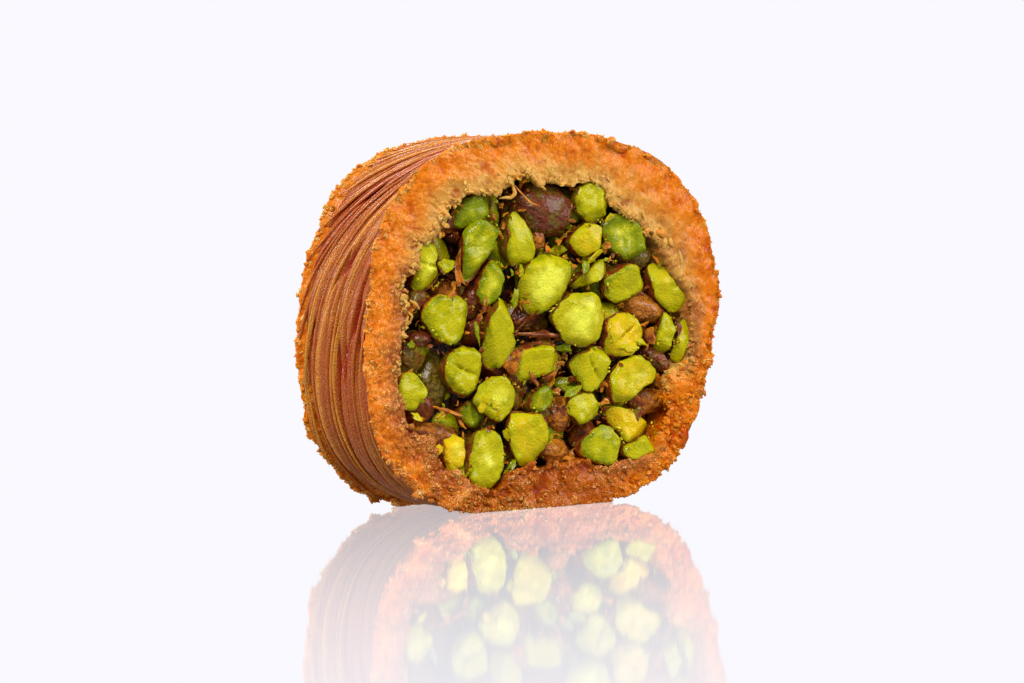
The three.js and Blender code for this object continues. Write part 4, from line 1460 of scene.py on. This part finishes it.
class BORMA_OT_syrup(bpy.types.Operator):
    """Dark syrupy paste that closes the gaps deep in the filling, its darkness partly painted shade"""

    bl_idname = "borma.syrup"
    bl_label = "Syrup paste"

    def execute(self, context):
        half = LENGTH / 2 - context.scene.borma_sizes.syrup_depth / MM
        turn = circle(SYRUP_ROUND)
        rows = [(-half, share) for share in SYRUP_SHARES] + [(0.0, 1.0)]
        rows += [(half, share) for share in reversed(SYRUP_SHARES)]
        rings = []
        for along, share in rows:
            ring = on_roll(turn, (hole_radius(turn) + 0.5) * share, along)
            ring[:, 1] += np.sign(along) * 0.9 * lumps(ring, 2.6, 91)
            rings.append(ring)
        add_piece("Syrup_Paste", closed_rings(np.array(rings), {}), syrup_and_shade_paste())
        return {"FINISHED"}


# ---- Stage ----


def studio_surround(backdrop):
    """The surround: plain where it is seen, and softer where it lights the slice."""
    world = bpy.data.worlds.new("Soft studio surround")
    world.use_nodes = True
    tree = world.node_tree
    seen = add(tree, "LightPath")
    glossy = seen.node.outputs["Is Glossy Ray"]
    strength = add(tree, "Math", {0: glossy, 1: MIRRORED - AMBIENT, 2: AMBIENT}, operation="MULTIPLY_ADD")
    strength = add(tree, "Math", {0: seen, 1: 1 - AMBIENT, 2: strength}, operation="MULTIPLY_ADD")
    background = tree.nodes["Background"].inputs
    background["Color"].default_value = backdrop
    tree.links.new(strength, background["Strength"])
    return world


def acrylic_sheet(backdrop):
    """A white polished sheet that glows like the surround and mirrors the slice."""
    material, tree = start_material("White acrylic sheet, polished")
    tree.nodes.remove(tree.nodes["Principled BSDF"])
    mirror = add(tree, "BsdfGlossy", {"Color": (1, 1, 1, 1), "Roughness": 0.04})
    # The sheet mirrors less the further it is from the slice
    place = add(tree, "TexCoord").node.outputs["Object"]
    far = add(tree, "VectorMath", {0: place}, operation="LENGTH")
    gloss = add(tree, "MapRange", {0: far, 1: 0.0, 2: GLOSS_REACH, 3: GLOSS_NEAR, 4: GLOSS_FAR})
    # What it mirrors of the dimmer surround is made up here, so that it ends in no line
    lost = add(tree, "Math", {0: gloss, 1: -MIRRORED, 2: 1.0}, operation="MULTIPLY_ADD")
    rest = add(tree, "Math", {0: 1.0, 1: gloss}, operation="SUBTRACT")
    level = add(tree, "Math", {0: lost, 1: rest}, operation="DIVIDE")
    seen = add(tree, "LightPath")
    strength = add(tree, "Mix", {0: seen, 2: UNDERGLOW, 3: level}, data_type="FLOAT")
    plain = add(tree, "Emission", {"Color": backdrop, "Strength": strength})
    dimmed = add(tree, "MapRange", {0: seen, 1: 0.0, 2: 1.0, 3: UNSEEN_GLOSS, 4: 1.0})
    gloss = add(tree, "Math", {0: gloss, 1: dimmed}, operation="MULTIPLY")
    surface = add(tree, "MixShader", {0: gloss, 1: plain, 2: mirror})
    tree.links.new(surface, tree.nodes["Material Output"].inputs["Surface"])
    return material


def add_softbox(name, place, breadth, power, left_out):
    """A square softbox that faces the slice and doesn't light what it leaves out."""
    lamp = bpy.data.lights.new(name, "AREA")
    lamp.size = breadth
    lamp.energy = power
    light = bpy.data.objects.new(name, lamp)
    light.location = place
    light.visible_camera = False
    light.light_linking.receiver_collection = left_out
    light.rotation_euler = (Vector(place) - Vector(SLICE_MIDDLE)).to_track_quat("Z", "Y").to_euler()
    bpy.context.scene.collection.objects.link(light)


def add_camera(scene):
    """A camera that looks at the slice from the left of its shown cut."""
    camera = bpy.data.cameras.new("Camera")
    camera.lens = CAMERA_LENS
    camera.sensor_width = CAMERA_SENSOR
    camera.clip_start = 0.01
    camera.clip_end = 20
    turn, rise, roll = (math.radians(degrees) for degrees in (CAMERA_TURN, CAMERA_RISE, CAMERA_ROLL))
    back = Vector((math.sin(turn) * math.cos(rise), -math.cos(turn) * math.cos(rise), math.sin(rise)))
    right = Vector((-back.y, back.x, 0)).normalized()
    up = back.cross(right)
    tilted_right = right * math.cos(roll) - up * math.sin(roll)
    tilted_up = up * math.cos(roll) + right * math.sin(roll)
    target = Vector((CAMERA_AIM[0] + axis_across(), 0, CAMERA_AIM[1])) * MM
    viewer = bpy.data.objects.new("Camera", camera)
    turned = Matrix((tilted_right, tilted_up, back)).transposed().to_4x4()
    viewer.matrix_world = Matrix.Translation(target + back * CAMERA_FAR) @ turned
    scene.collection.objects.link(viewer)
    scene.camera = viewer


class BORMA_OT_stage(bpy.types.Operator):
    """Pale glossy floor, soft studio light and the camera"""

    bl_idname = "borma.stage"
    bl_label = "Stage"

    def execute(self, context):
        scene = context.scene
        backdrop = scene.borma_colours.backdrop
        scene.world = studio_surround(backdrop)
        mesh = bpy.data.meshes.new("Floor")
        corners = [(x * SHEET_REACH, y * SHEET_REACH, 0) for x, y in ((-1, -1), (1, -1), (1, 1), (-1, 1))]
        mesh.from_pydata(corners, [], [(0, 1, 2, 3)])
        mesh.materials.append(acrylic_sheet(backdrop))
        floor = bpy.data.objects.new("Floor", mesh)
        scene.collection.objects.link(floor)

        # The sheet would mirror the softboxes as white patches, so it takes no light from them
        unlit = bpy.data.collections.new("Softboxes leave out")
        unlit.objects.link(floor)
        unlit.collection_objects[0].light_linking.link_state = "EXCLUDE"
        for name, (place, breadth, power) in SOFTBOXES.items():
            add_softbox(name, place, breadth, power, unlit)
        add_camera(scene)
        scene.view_settings.view_transform = "Standard"
        return {"FINISHED"}


class BORMA_PT_panel(bpy.types.Panel):
    """Sizes, colours and steps of the slice"""

    bl_label = "Borma slice"
    bl_space_type = "VIEW_3D"
    bl_region_type = "UI"
    bl_category = "Borma"

    def draw(self, context):
        for group in (context.scene.borma_sizes, context.scene.borma_colours):
            for name in group.__annotations__:
                self.layout.prop(group, name)
        for step in STEPS:
            self.layout.operator(step.bl_idname)


STEPS = (
    BORMA_OT_wall,
    BORMA_OT_strands,
    BORMA_OT_crumbs,
    BORMA_OT_kernels,
    BORMA_OT_whole_kernels,
    BORMA_OT_fragments,
    BORMA_OT_syrup,
    BORMA_OT_stage,
)
CLASSES = (BormaSizes, BormaColours, *STEPS, BORMA_PT_panel)


def register():
    for item in CLASSES:
        bpy.utils.register_class(item)
    bpy.types.Scene.borma_sizes = PointerProperty(type=BormaSizes)
    bpy.types.Scene.borma_colours = PointerProperty(type=BormaColours)


def unregister():
    del bpy.types.Scene.borma_sizes
    del bpy.types.Scene.borma_colours
    for item in reversed(CLASSES):
        bpy.utils.unregister_class(item)


def main():
    register()
    bpy.ops.borma.wall()
    bpy.ops.borma.strands()
    bpy.ops.borma.crumbs()
    bpy.ops.borma.kernels()
    bpy.ops.borma.whole_kernels()
    bpy.ops.borma.fragments()
    bpy.ops.borma.syrup()
    bpy.ops.borma.stage()


if __name__ == "__main__":
    main()
